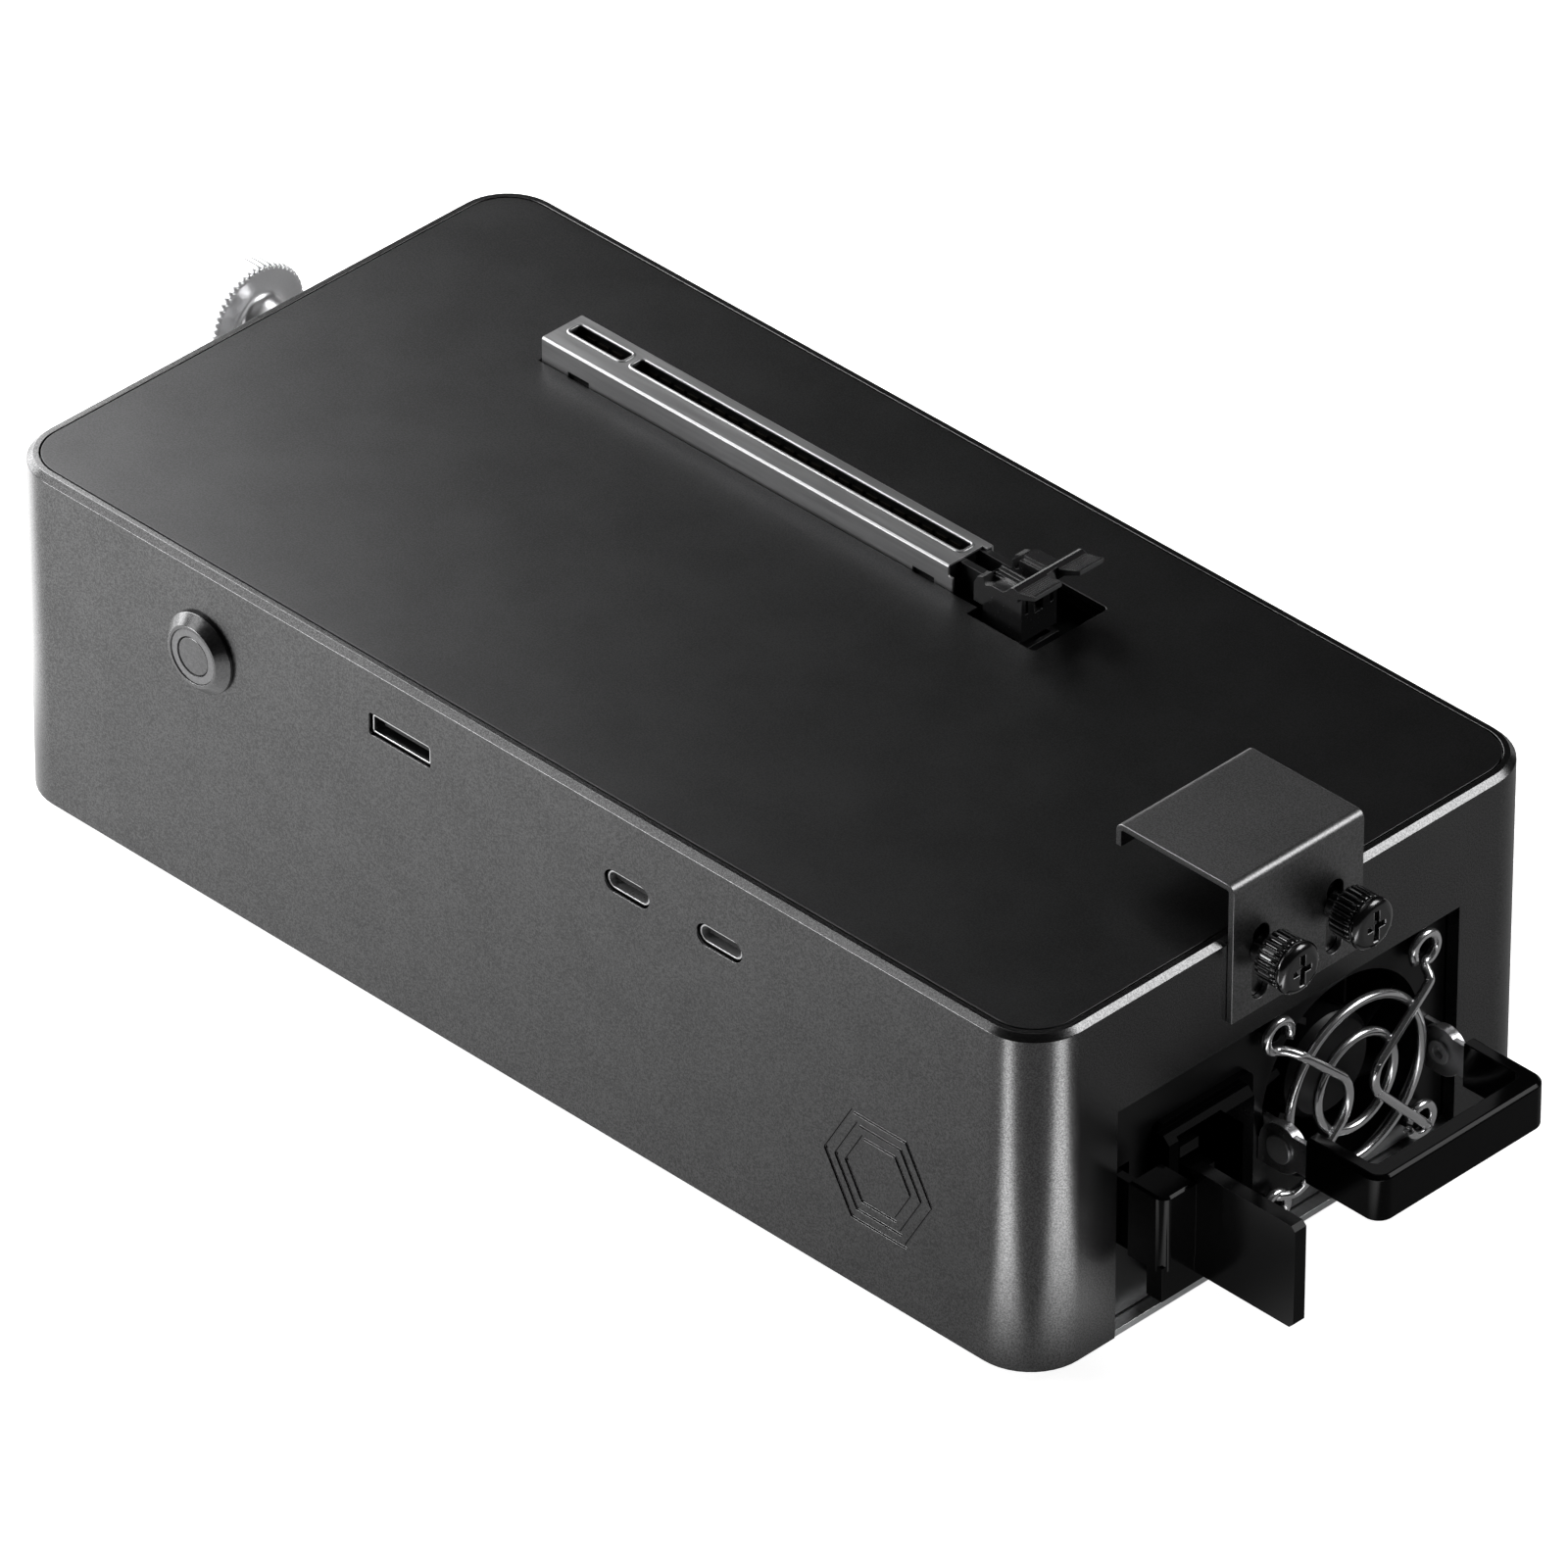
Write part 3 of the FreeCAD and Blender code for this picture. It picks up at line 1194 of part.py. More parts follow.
def lug_spans():
    """The y ranges of the two ears and of the lug beside each, which sits on the +Y side of its ear."""
    sheet_t = S.ear_sheet
    near = fan_y - handle_half + 0.5
    far = fan_y + handle_half - 0.5 - sheet_t
    return [(low, low + sheet_t, low + sheet_t + 0.1, low + 2 * sheet_t + 0.1) for low in (near, far)]


def make_psu_inside():
    """The supply's board with its edge tongue, and the large parts on it."""
    board_z = psu_low + S.psu_skin + S.psu_board_rise
    top = board_z + S.board_thickness
    side = psu_half - 2.75
    body = new_body("psu_board")
    pad(body, "sheet", "XY", board_z, top, rectangle(psu_rear + 1.3, -side, psu_face - 29.2, side))
    pad(body, "edge_tongue", "XY", board_z, top, rectangle(psu_rear - 5.2, -20.0, psu_rear + 2.0, 20.0))
    pocket(body, "holes", "XY", board_z, top, *[octagon(px, py, S.screw_core + S.hole_gap) for px, py in PSU_POSTS])
    node("psu_board", body)
    screws = []
    for number, (px, py) in enumerate(PSU_POSTS, start=1):
        shank = stud("psu_shank_%d" % number, (px, py, board_z - 2.2), S.screw_core, S.board_thickness + 2.2)
        head = stud("psu_head_%d" % number, (px, py, top), S.screw_head, S.screw_head_height)
        screws.append(fuse("psu_screw_%d" % number, shank, head))
    node("psu_board_screws", group("psu_board_screws", *screws))
    tall = S.psu_part_height
    sinks = []
    for number, y in enumerate((16.75 - psu_half, psu_half - 22.75), start=1):
        sink = new_body("heat_sink_%d" % number)
        depth = S.psu_sink_depth
        outline = [(y, top), (y + 2.0, top)]
        for fin in range(4):
            level = top + tall * (0.18 + 0.215 * fin)
            outline += [(y + 2.0, level), (y + depth, level), (y + depth, level + 1.6), (y + 2.0, level + 1.6)]
        outline += [(y + 2.0, top + tall), (y, top + tall)]
        pad(sink, "fins", "YZ", psu_rear + 45.8, psu_rear + 45.8 + S.psu_sink_length, polygon(*outline))
        sinks.append(sink)
    node("psu_heatsinks", group("psu_heatsinks", *sinks))
    core = new_body("psu_transformer")
    x = psu_face - 63.2
    length = S.psu_core_length
    pad(core, "core", "XY", top, top + tall * 0.9, rectangle(x, -13.0, x + length, 7.0))
    pad(core, "winding", "XY", top + 4.0, top + tall * 0.75, rounded(x - 3.0, -10.0, x + length + 3.0, 4.0, 4.0))
    node("psu_transformer", core)
    can = S.psu_can_radius
    places = ((psu_rear + 23.8, -12.0), (psu_rear + 23.8, 8.0), (psu_face - 47.2, psu_half - 16.75))
    cans = [rod("capacitor_%d" % number, (x, y, top), can, tall) for number, (x, y) in enumerate(places, start=1)]
    node("psu_capacitors", group("psu_capacitors", *cans))


def make_inlet():
    """The mains inlet with a thin mounting flange, a bevelled body, its cavity and three blade pins."""
    y, z = inlet_y, S.inlet_z
    tall = S.inlet_tall / 2
    front = psu_face + S.inlet_proud
    body = new_body("inlet_housing")
    pad(body, "flange", "YZ", psu_face, psu_face + 1.2, rounded(inlet_low_y, z - tall, inlet_high_y, z + tall, 1.6))
    pad(body, "shroud", "YZ", psu_face, front,
        rectangle(inlet_low_y + 0.2, z - tall + 0.2, inlet_high_y - 2.4, z + tall - 1.0))
    soften(body, "Chamfer", "shroud_bevel", 1.3,
           lambda edge: flat_at(edge, "z", z + tall - 1.0) and flat_at(edge, "x", front))
    neck = 0.7
    pad(body, "can", "YZ", psu_face - S.inlet_depth, psu_face,
        rectangle(inlet_low_y + neck, z - tall + neck, inlet_high_y - neck, z + tall - neck))
    low_y, high_y = inlet_low_y + S.cavity_wall, inlet_high_y - 2.4 - S.cavity_wall
    tall, cant = S.cavity_tall / 2, 4.5
    floor = front - 16.6
    pocket(body, "cavity", "YZ", floor, front,
           polygon((low_y, z - tall), (high_y - cant, z - tall), (high_y, z - tall + cant),
                   (high_y, z + tall - cant), (high_y - cant, z + tall), (low_y, z + tall)))
    node("inlet_housing", body)
    y = (low_y + high_y) / 2
    pins = []
    for number, (dy, dz) in enumerate(((-2.0, -6.6), (1.6, 0.0), (-2.0, 6.6)), start=1):
        pins.append(box("inlet_pin_%d" % number, (floor, y + dy - 2.0, z + dz - 1.0),
                        (front - 2.6, y + dy + 2.0, z + dz + 1.0)))
    node("inlet_pins", group("inlet_pins", *pins))


def make_fan():
    """The fan: square frame with duct, struts and bearing, and a rotor with seven curved blades."""
    y, z = fan_y, psu_middle_z
    back = psu_face - S.fan_depth
    front = psu_face - S.psu_skin
    body = new_body("fan_frame")
    pad(body, "block", "YZ", back, front,
        rounded(y - fan_half, z - fan_half, y + fan_half, z + fan_half, 2.5))
    corners = [(y + a * fan_corner, z + b * fan_corner) for a in (-1, 1) for b in (-1, 1)]
    pocket(body, "duct", "YZ", back, front, circle(y, z, fan_duct))
    pocket(body, "corner_bores", "YZ", front - 7.0, front, *[octagon(a, b, 1.5) for a, b in corners])
    reach = fan_duct + 0.6
    pad(body, "upright_struts", "YZ", back, back + 2.4, rectangle(y - 1.0, z - reach, y + 1.0, z + reach))
    pad(body, "level_struts", "YZ", back, back + 2.4, rectangle(y - reach, z - 1.0, y + reach, z + 1.0))
    pad(body, "motor_plate", "YZ", back, back + 2.4, circle(y, z, S.fan_hub))
    pad(body, "bearing", "YZ", back + 2.2, back + 15.0, octagon(y, z, 3.0))
    bore = S.rivet_radius + S.bore_gap
    pocket(body, "bearing_bore", "YZ", back, back + 15.0, circle(y, z, bore))
    pocket(body, "clip_room", "YZ", back, back + 1.4, octagon(y, z, 2.7))
    node("fan_frame", body)
    hub = float(S.fan_hub)
    tip = float(fan_duct - S.fan_tip_gap)
    x0, x1 = float(back) + 3.4, float(psu_face) - 2.2
    centre = FreeCAD.Vector(0, float(y), float(z))
    x_axis = FreeCAD.Vector(1, 0, 0)

    def disc(start, end, radius):
        return Part.makeCylinder(radius, end - start, centre + x_axis * start, x_axis)

    cup = disc(x0, x1 - 1.0, hub).cut(disc(x0, x1 - 1.2, hub - 1.0))
    cap = Part.makeCone(hub, hub - 1.0, 1.0, centre + x_axis * (x1 - 1.0), x_axis)
    shaft = disc(float(back) + 0.4, x1 - 0.6, float(S.rivet_radius))
    clip = disc(float(back) + 0.4, float(back) + 1.0, 2.1)
    blades = []
    for number in range(7):
        blade = fan_blade(hub - 0.5, tip + 1.0, x0 + 1.2, x1 - 1.6)
        blade.rotate(FreeCAD.Vector(), x_axis, 360.0 * number / 7)
        blade.translate(centre)
        blades.append(blade)
    rotor = joined([cup, cap, shaft, clip] + blades)
    trim = disc(x0 - 5, x1 + 1, tip)
    return node("fan_rotor", shaped("fan_rotor", rotor.common(trim)))


def fan_blade(inner, outer, start, end):
    """A cambered blade about the X axis: a thin bowed section in x and y, drawn out along z."""
    sweep, camber, thickness, steps = 9.0, 1.8, 1.1, 4
    along_it = FreeCAD.Vector(end - start, sweep, 0).normalize()
    side = FreeCAD.Vector(-along_it.y, along_it.x, 0)
    first = FreeCAD.Vector(start, -sweep / 2, inner)
    last = FreeCAD.Vector(end, sweep / 2, inner)
    back = []
    for step in range(steps + 1):
        part = step / steps
        back.append(first + (last - first) * part + side * (camber * 4 * part * (1 - part)))
    front = [point + side * thickness for point in reversed(back)]
    section = Part.Face(Part.makePolygon(back + front + back[:1]))
    return section.extrude(FreeCAD.Vector(0, 0, outer - inner))


def make_fan_guard():
    """The welded wire guard: two rings and two bent spokes, each spoke with a hook at both of its ends."""
    y, z = float(fan_y), float(psu_middle_z)
    side = float(fan_corner)
    ring_x = float(psu_face) + 3.1
    spoke_x = ring_x + 1.1
    eye_x = float(psu_face + S.fan_boss + S.guard_wire) + 0.05
    eye = float(S.guard_eye)
    radius = float(S.guard_wire)
    middle_x = (eye_x + spoke_x) / 2
    wires = []
    for major in (float(S.guard_outer), float(S.guard_inner)):
        wires.append(wire_tube(ring_points(ring_x, y, z, major, 0, 360, 24)[:-1], radius, True))
    left = ring_points(eye_x, y - side, z + side, eye, -14, 262, 12)
    left += [FreeCAD.Vector(middle_x - 0.3, y - side + 1.0, z + side - 2.9),
             FreeCAD.Vector(spoke_x - 0.3, y - side + 2.3, z + side - 3.6)]
    left += corner_points(FreeCAD.Vector(spoke_x, y - side + 3.4, z + side - 4.5),
                          FreeCAD.Vector(spoke_x, y + 0.3, z - 0.6),
                          FreeCAD.Vector(spoke_x, y - side + 4.9, z - side + 4.7), 6.2, 5)
    left += [FreeCAD.Vector(spoke_x - 0.3, y - side + 4.2, z - side + 3.2),
             FreeCAD.Vector(middle_x, y - side + 2.6, z - side + 1.9),
             FreeCAD.Vector(eye_x + 0.2, y - side + 0.2, z - side + 2.2)]
    wires.append(wire_tube(left, radius, False))
    wires.append(wire_tube(ring_points(eye_x, y - side, z - side, eye, -150, 130, 12), radius, False))
    right = ring_points(eye_x, y + side, z + side, eye, 200, -90, 12)
    right += [FreeCAD.Vector(middle_x - 0.2, y + side - 0.6, z + side - 3.1),
              FreeCAD.Vector(spoke_x - 0.3, y + side - 1.0, z + side - 3.9)]
    right += corner_points(FreeCAD.Vector(spoke_x, y + side - 1.7, z + side - 4.9),
                           FreeCAD.Vector(spoke_x, y + 1.1, z - 0.6),
                           FreeCAD.Vector(spoke_x, y + side - 2.9, z - side + 2.7), 4.5, 5)
    right += [FreeCAD.Vector(middle_x + 0.4, y + side - 1.0, z - side + 0.7),
              FreeCAD.Vector(eye_x + 0.2, y + side + 1.4, z - side - 1.6)]
    wires.append(wire_tube(right, radius, False))
    wires.append(wire_tube(ring_points(eye_x, y + side, z - side, eye, 150, -150, 13), radius, False))
    return node("fan_guard", shaped("fan_guard", joined(wires)))


def ring_points(x, y, z, radius, start, end, steps):
    """Points round a circle square to the X axis, between two angles in degrees."""
    points = []
    for step in range(steps + 1):
        angle = math.radians(start + (end - start) * step / steps)
        points.append(FreeCAD.Vector(x, y + radius * math.cos(angle), z + radius * math.sin(angle)))
    return points


def corner_points(start, corner, end, bend, steps):
    """Two straight runs and the round bend between them, as the points of a wire."""
    first = (start - corner).normalize()
    second = (end - corner).normalize()
    opening = first.getAngle(second)
    centre = corner + (first + second).normalize() * (bend / math.sin(opening / 2))
    enter = corner + first * (bend / math.tan(opening / 2)) - centre
    leave = corner + second * (bend / math.tan(opening / 2)) - centre
    turn = enter.getAngle(leave)
    points = [start]
    for step in range(steps + 1):
        part = step / steps
        points.append(centre + (enter * math.sin((1 - part) * turn) + leave * math.sin(part * turn))
                      * (1 / math.sin(turn)))
    return points + [end]


def wire_tube(points, radius, closed):
    """A six-sided wire along a run of points, mitred where it turns."""
    count = len(points)
    legs = [(points[(index + 1) % count] - points[index]).normalize() for index in range(count)]
    if not closed:
        legs = legs[:-1]
    normal = legs[0].cross(FreeCAD.Vector(1, 0, 0)).normalize()
    other = legs[0].cross(normal)
    loop = [points[0] + (normal * math.cos(math.radians(60 * step)) + other * math.sin(math.radians(60 * step)))
            * radius for step in range(6)]
    if closed:
        face_normal = (legs[0] + legs[-1]).normalize()
        loop = [corner + legs[0] * ((points[0] - corner).dot(face_normal) / legs[0].dot(face_normal))
                for corner in loop]
    loops = [loop]
    for index, leg in enumerate(legs):
        stop = points[(index + 1) % count]
        last = not closed and index == len(legs) - 1
        face_normal = leg if last else (leg + legs[(index + 1) % len(legs)]).normalize()
        loops.append([corner + leg * ((stop - corner).dot(face_normal) / leg.dot(face_normal))
                      for corner in loops[-1]])
    if closed:
        loops[-1] = loops[0]
    faces = []
    for low, high in zip(loops, loops[1:]):
        for step in range(6):
            a, b = low[step], low[(step + 1) % 6]
            c, d = high[(step + 1) % 6], high[step]
            faces.append(Part.Face(Part.makePolygon([a, b, c, d, a])))
    if not closed:
        for ring in (loops[0], loops[-1]):
            faces.append(Part.Face(Part.makePolygon(ring + ring[:1])))
    solid = Part.makeSolid(Part.makeShell(faces))
    if solid.Volume < 0:
        solid.reverse()
    return solid


def make_handle():
    """The pull handle: a plastic bow on two riveted steel ears, each beside a lug on the supply's face."""
    y, half = fan_y, handle_half
    pivot_x, pivot_z = S.handle_pivot_x, S.handle_pivot_z
    start = pivot_x + S.handle_start
    tip = pivot_x + S.handle_reach
    low, top = S.handle_bottom_z, S.handle_bottom_z + S.handle_thickness
    body = new_body("pull_handle")
    pad(body, "bow", "XY", low, top, rectangle(start, y - half, tip, y + half))
    soften(body, "Fillet", "outer_corners", 2.8,
           lambda edge: along(edge, "z") and near(edge.CenterOfMass.x, tip))
    inner = half - S.handle_arm
    pocket(body, "finger_gap", "XY", low, top, rectangle(start, y - inner, tip - S.handle_bar, y + inner))
    soften(body, "Fillet", "inner_corners", 1.2,
           lambda edge: along(edge, "z") and near(edge.CenterOfMass.x, tip - S.handle_bar))
    soften(body, "Chamfer", "top_bevel", 0.6, lambda edge: flat_at(edge, "z", top)
           and (abs(edge.CenterOfMass.y - float(y)) > float(half) - 0.9 or edge.CenterOfMass.x > float(tip) - 0.9))
    spans = lug_spans()
    for number, (ear_low, ear_high, _, _) in enumerate(spans, start=1):
        pocket(body, "ear_slot_%d" % number, "XZ", ear_low, ear_high,
               rectangle(start, pivot_z - 2.7, start + 2.6, pivot_z + 3.5))
    node("pull_handle", body)
    ears, lugs, rivets = [], [], []
    bore = S.rivet_radius + S.bore_gap
    for number, (ear_low, ear_high, lug_low, lug_high) in enumerate(spans, start=1):
        ear = new_body("handle_ear_%d" % number)
        heel = psu_face + 0.1
        pad(ear, "eye", "XZ", ear_low, ear_high, circle(pivot_x, pivot_z, S.handle_ear))
        pad(ear, "tab", "XZ", ear_low, ear_high, rectangle(pivot_x, pivot_z - 2.6, start + 2.5, pivot_z + 3.4))
        pad(ear, "heel", "XZ", ear_low, ear_high, rectangle(heel, pivot_z - S.handle_ear, pivot_x, pivot_z))
        pocket(ear, "bore", "XZ", ear_low, ear_high, circle(pivot_x, pivot_z, bore))
        ears.append(ear)
        lug = new_body("handle_lug_%d" % number)
        pad(lug, "arm", "XZ", lug_low, lug_high, rectangle(psu_face, pivot_z - 3.5, pivot_x, pivot_z + 3.5))
        pad(lug, "end", "XZ", lug_low, lug_high, circle(pivot_x, pivot_z, S.handle_lug))
        pocket(lug, "bore", "XZ", lug_low, lug_high, circle(pivot_x, pivot_z, bore))
        lugs.append(lug)
        name = "handle_rivet_%d" % number
        first, last = ear_low - 0.05, lug_high + 0.05
        sizes = (S.rivet_head, 2.0) if number == 1 else (2.0, S.rivet_head)
        parts = [rod(name + "_near", (pivot_x, first - 0.5, pivot_z), sizes[0], 0.5, "y"),
                 rod(name + "_far", (pivot_x, last, pivot_z), sizes[1], 0.5, "y"),
                 rod(name + "_shank", (pivot_x, first - 0.5, pivot_z), S.rivet_radius, last - first + 1.0, "y")]
        whole = fuse(name + "_solid", *parts)
        hollow_y = first - 0.5 if number == 2 else last - 0.7
        hollow = rod(name + "_hollow", (pivot_x, hollow_y, pivot_z), 1.0, 1.2, "y")
        rivets.append(cut(name, whole, hollow))
    node("handle_ears", group("handle_ears", *ears))
    node("handle_lugs", group("handle_lugs", *lugs))
    node("handle_rivets", group("handle_rivets", *rivets))


def make_release_latch():
    """The spring latch beside the inlet: pivot barrel, arm with a catch, corner block and press tab."""
    body = new_body("release_latch")
    px, py = S.release_pivot_x, release_pivot_y
    low, top = S.release_block_z, S.release_block_z + S.release_block_tall
    near_y = -psu_half + S.release_block_near
    block_x0 = psu_face + 3.8
    block_x1 = psu_face + S.release_block_end
    far_y = near_y + S.release_block_width
    pad(body, "block", "XY", low, top, rectangle(block_x0, near_y, block_x1, far_y))
    soften(body, "Fillet", "block_corner", 1.8, lambda edge: along(edge, "z")
           and near(edge.CenterOfMass.x, block_x1) and near(edge.CenterOfMass.y, near_y))
    soften(body, "Chamfer", "block_edge", 0.4, lambda edge: flat_at(edge, "z", top))
    pad(body, "foot", "XY", low - 5.2, low + 1.0,
        rectangle(block_x1 - 3.4, near_y + 0.1, block_x1 - 0.2, far_y + S.release_tab - 0.1))
    arm_y = -psu_half + S.psu_skin + 0.45
    pad(body, "arm", "XY", low + 0.4, top - 0.9, rectangle(px, arm_y, block_x0 + 1.0, arm_y + 1.6))
    pad(body, "barrel", "XY", low, top - 0.5, circle(px, py, 1.8))
    pad(body, "catch", "XY", low + 3.0, top - 5.0,
        polygon((px + 3.4, arm_y + 0.5), (px + 3.4, arm_y - 1.5), (px + 6.4, arm_y - 0.5), (px + 6.4, arm_y + 0.5)))
    tab_x0 = block_x1 - 1.3
    tab_x1 = block_x1 + S.release_tab_reach
    tab_low = low - 3.0
    tab_top = tab_low + S.release_tab_tall
    pad(body, "tab", "XY", tab_low, tab_top, rectangle(tab_x0, far_y, tab_x1, far_y + S.release_tab))
    pad(body, "tab_root", "XY", low + 0.5, top - 0.5, rectangle(tab_x0, far_y - 1.0, block_x1, far_y + 1.0))
    soften(body, "Chamfer", "tab_corners", 0.8, lambda edge: flat_at(edge, "x", tab_x1) and along(edge, "y"))
    pocket(body, "pivot_bore", "XY", low, top - 0.5, circle(px, py, 0.8 + S.bore_gap))
    node("release_latch", body)
    level = low - 0.4 - 0.8
    pin = rod("latch_pin", (px, py, level), 0.8, top - 0.4 + 0.1 + 0.9 - level)
    node("latch_pin", pin)


def make_power_parts():
    """The board behind the bay with its socket, the straps up to the slot board, and the board link."""
    t = S.board_thickness
    rear = bay_rear - t
    board = new_body("backplane_board")
    outer = bay_half + S.bay_sheet
    pad(board, "sheet", "YZ", rear, bay_rear, rectangle(-outer, plate_top, outer, bay_roof))
    node("backplane_board", board)
    slot_z = psu_low + S.psu_skin + S.psu_board_rise
    socket = new_body("power_socket")
    pad(socket, "block", "YZ", bay_rear, bay_rear + 5.9, rectangle(-23.0, slot_z - 3.4, 23.0, slot_z + t + 3.4))
    pocket(socket, "slot", "YZ", bay_rear + 1.0, bay_rear + 5.9,
           rectangle(-20.3, slot_z - 0.15, 20.3, slot_z + t + 0.15))
    node("power_socket", socket)
    straps = []
    for number, y in enumerate((-22.0, 10.0), start=1):
        upright = box("strap_upright_%d" % number, (rear - 0.8, y, 36.0), (rear, y + 12.0, board_low))
        level = box("strap_level_%d" % number, (rear - 0.8, y, board_low - 0.8), (rear + 10.0, y + 12.0, board_low))
        straps.append(fuse("strap_%d" % number, upright, level))
    node("power_busbars", group("power_busbars", *straps))
    link = box("board_link", (30.0, -26.0, side_top), (42.0, -22.0, board_low))
    node("board_link", link)


make_main_case()
make_top_panel()
make_bottom_plate()
make_bottom_screws()
make_rubber_feet()
make_psu_bay()
make_boards()
make_slot_shield()
make_slot_body()
make_contacts()
make_card_latch()
make_button()
make_ports()
make_bracket()
make_thumb_screw("thumb_screw_front", -S.slot_spread)
make_thumb_screw("thumb_screw_rear", S.slot_spread)
make_inserts()
make_end_knob()
make_psu_case()
make_psu_inside()
make_inlet()
make_fan()
make_fan_guard()
make_handle()
make_release_latch()
make_power_parts()

doc.recompute()
for item in doc.Objects:
    if "Invalid" in item.State or "Error" in item.State:
        raise ValueError("%s is not sound" % item.Name)
for name, thing in NODES.items():
    if thing.Shape.isNull() or not thing.Shape.isValid() or not thing.Shape.Solids:
        raise ValueError("%s has no sound shape" % name)

os.makedirs("parts", exist_ok=True)
for name, thing in NODES.items():
    thing.Shape.exportStep("parts/%s.step" % name)
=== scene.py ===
"""Looks of the external graphics card enclosure: finishes, fine pieces, stage, lamps and camera."""
import json
import math

import bmesh
import bpy
import numpy as np
from mathutils import Matrix, Vector


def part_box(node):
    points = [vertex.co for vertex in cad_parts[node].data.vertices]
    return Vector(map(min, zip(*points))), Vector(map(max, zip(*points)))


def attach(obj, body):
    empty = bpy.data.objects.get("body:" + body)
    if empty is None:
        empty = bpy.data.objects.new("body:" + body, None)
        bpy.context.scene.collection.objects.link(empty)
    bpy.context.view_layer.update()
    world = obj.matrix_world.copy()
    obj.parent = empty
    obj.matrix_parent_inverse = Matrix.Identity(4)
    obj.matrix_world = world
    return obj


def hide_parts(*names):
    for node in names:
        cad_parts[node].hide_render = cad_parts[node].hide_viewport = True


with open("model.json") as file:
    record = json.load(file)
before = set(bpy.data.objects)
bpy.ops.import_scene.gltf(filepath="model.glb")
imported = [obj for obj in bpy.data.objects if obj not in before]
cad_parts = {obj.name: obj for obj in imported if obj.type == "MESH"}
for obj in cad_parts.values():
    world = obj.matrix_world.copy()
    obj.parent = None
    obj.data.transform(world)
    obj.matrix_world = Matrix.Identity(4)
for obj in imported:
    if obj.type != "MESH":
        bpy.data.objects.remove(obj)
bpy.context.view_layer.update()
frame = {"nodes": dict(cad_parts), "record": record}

bl_info = {
    "name": "Graphics Card Enclosure",
    "version": (1, 0, 0),
    "blender": (4, 5, 0),
    "location": "3D View > Sidebar > Enclosure",
    "description": "Dresses the packed enclosure with its finishes, fine pieces and studio",
    "category": "Object",
}


class CameraSettings(bpy.types.PropertyGroup):
    """Where the camera stands round the enclosure."""

    azimuth: bpy.props.FloatProperty(
        name="Azimuth", description="Degrees round the enclosure from its long front", default=44.8917)
    elevation: bpy.props.FloatProperty(
        name="Elevation", description="Degrees above the horizon", default=35.2179)
    roll: bpy.props.FloatProperty(
        name="Roll", description="Degrees about the line of sight", default=0.0839)
    distance: bpy.props.FloatProperty(
        name="Distance", description="From the aim point", default=2.69716, unit="LENGTH")
    lens: bpy.props.FloatProperty(
        name="Lens", description="Focal length in millimetres", default=402.69)
    aim_height: bpy.props.FloatProperty(
        name="Aim height", description="Aim point above the desk", default=0.0308, unit="LENGTH")
    aim_side: bpy.props.FloatProperty(
        name="Aim side", description="Aim point moved to the right", default=0.0033426, unit="LENGTH")
    aim_rise: bpy.props.FloatProperty(
        name="Aim rise", description="Aim point moved up in the picture", default=-0.0012186,
        unit="LENGTH")


class FinishSettings(bpy.types.PropertyGroup):
    """Colours and roughness that set the enclosure's tone."""

    case_colour: bpy.props.FloatVectorProperty(
        name="Case", description="Blasted dark aluminium", subtype="COLOR", size=3,
        default=(0.115, 0.115, 0.116), min=0, max=1)
    case_roughness: bpy.props.FloatProperty(
        name="Case roughness", description="Of the blasted shell", default=0.25, min=0, max=1)
    panel_colour: bpy.props.FloatVectorProperty(
        name="Panel", description="Inset black panel", subtype="COLOR", size=3,
        default=(0.06, 0.06, 0.061), min=0, max=1)
    panel_roughness: bpy.props.FloatProperty(
        name="Panel roughness", description="Of the inset panel", default=0.36, min=0, max=1)
    gloss_colour: bpy.props.FloatVectorProperty(
        name="Gloss plastic", description="Handle and release latch", subtype="COLOR", size=3,
        default=(0.003, 0.003, 0.0032), min=0, max=1)


class SizeSettings(bpy.types.PropertyGroup):
    """Sizes of the fine pieces that are made here."""

    guard_wire: bpy.props.FloatProperty(
        name="Guard wire", description="Radius of the fan guard's wire", default=0.00078, unit="LENGTH")
    knob_teeth: bpy.props.IntProperty(
        name="Knob teeth", description="Ridges round the end knob", default=54, min=12, max=120)
    screw_teeth: bpy.props.IntProperty(
        name="Screw teeth", description="Ridges round each thumb screw", default=24, min=12, max=60)
    rim_wire: bpy.props.FloatProperty(
        name="Window rim", description="Radius of the rolled rims of the shield's windows",
        default=0.0003, unit="LENGTH")


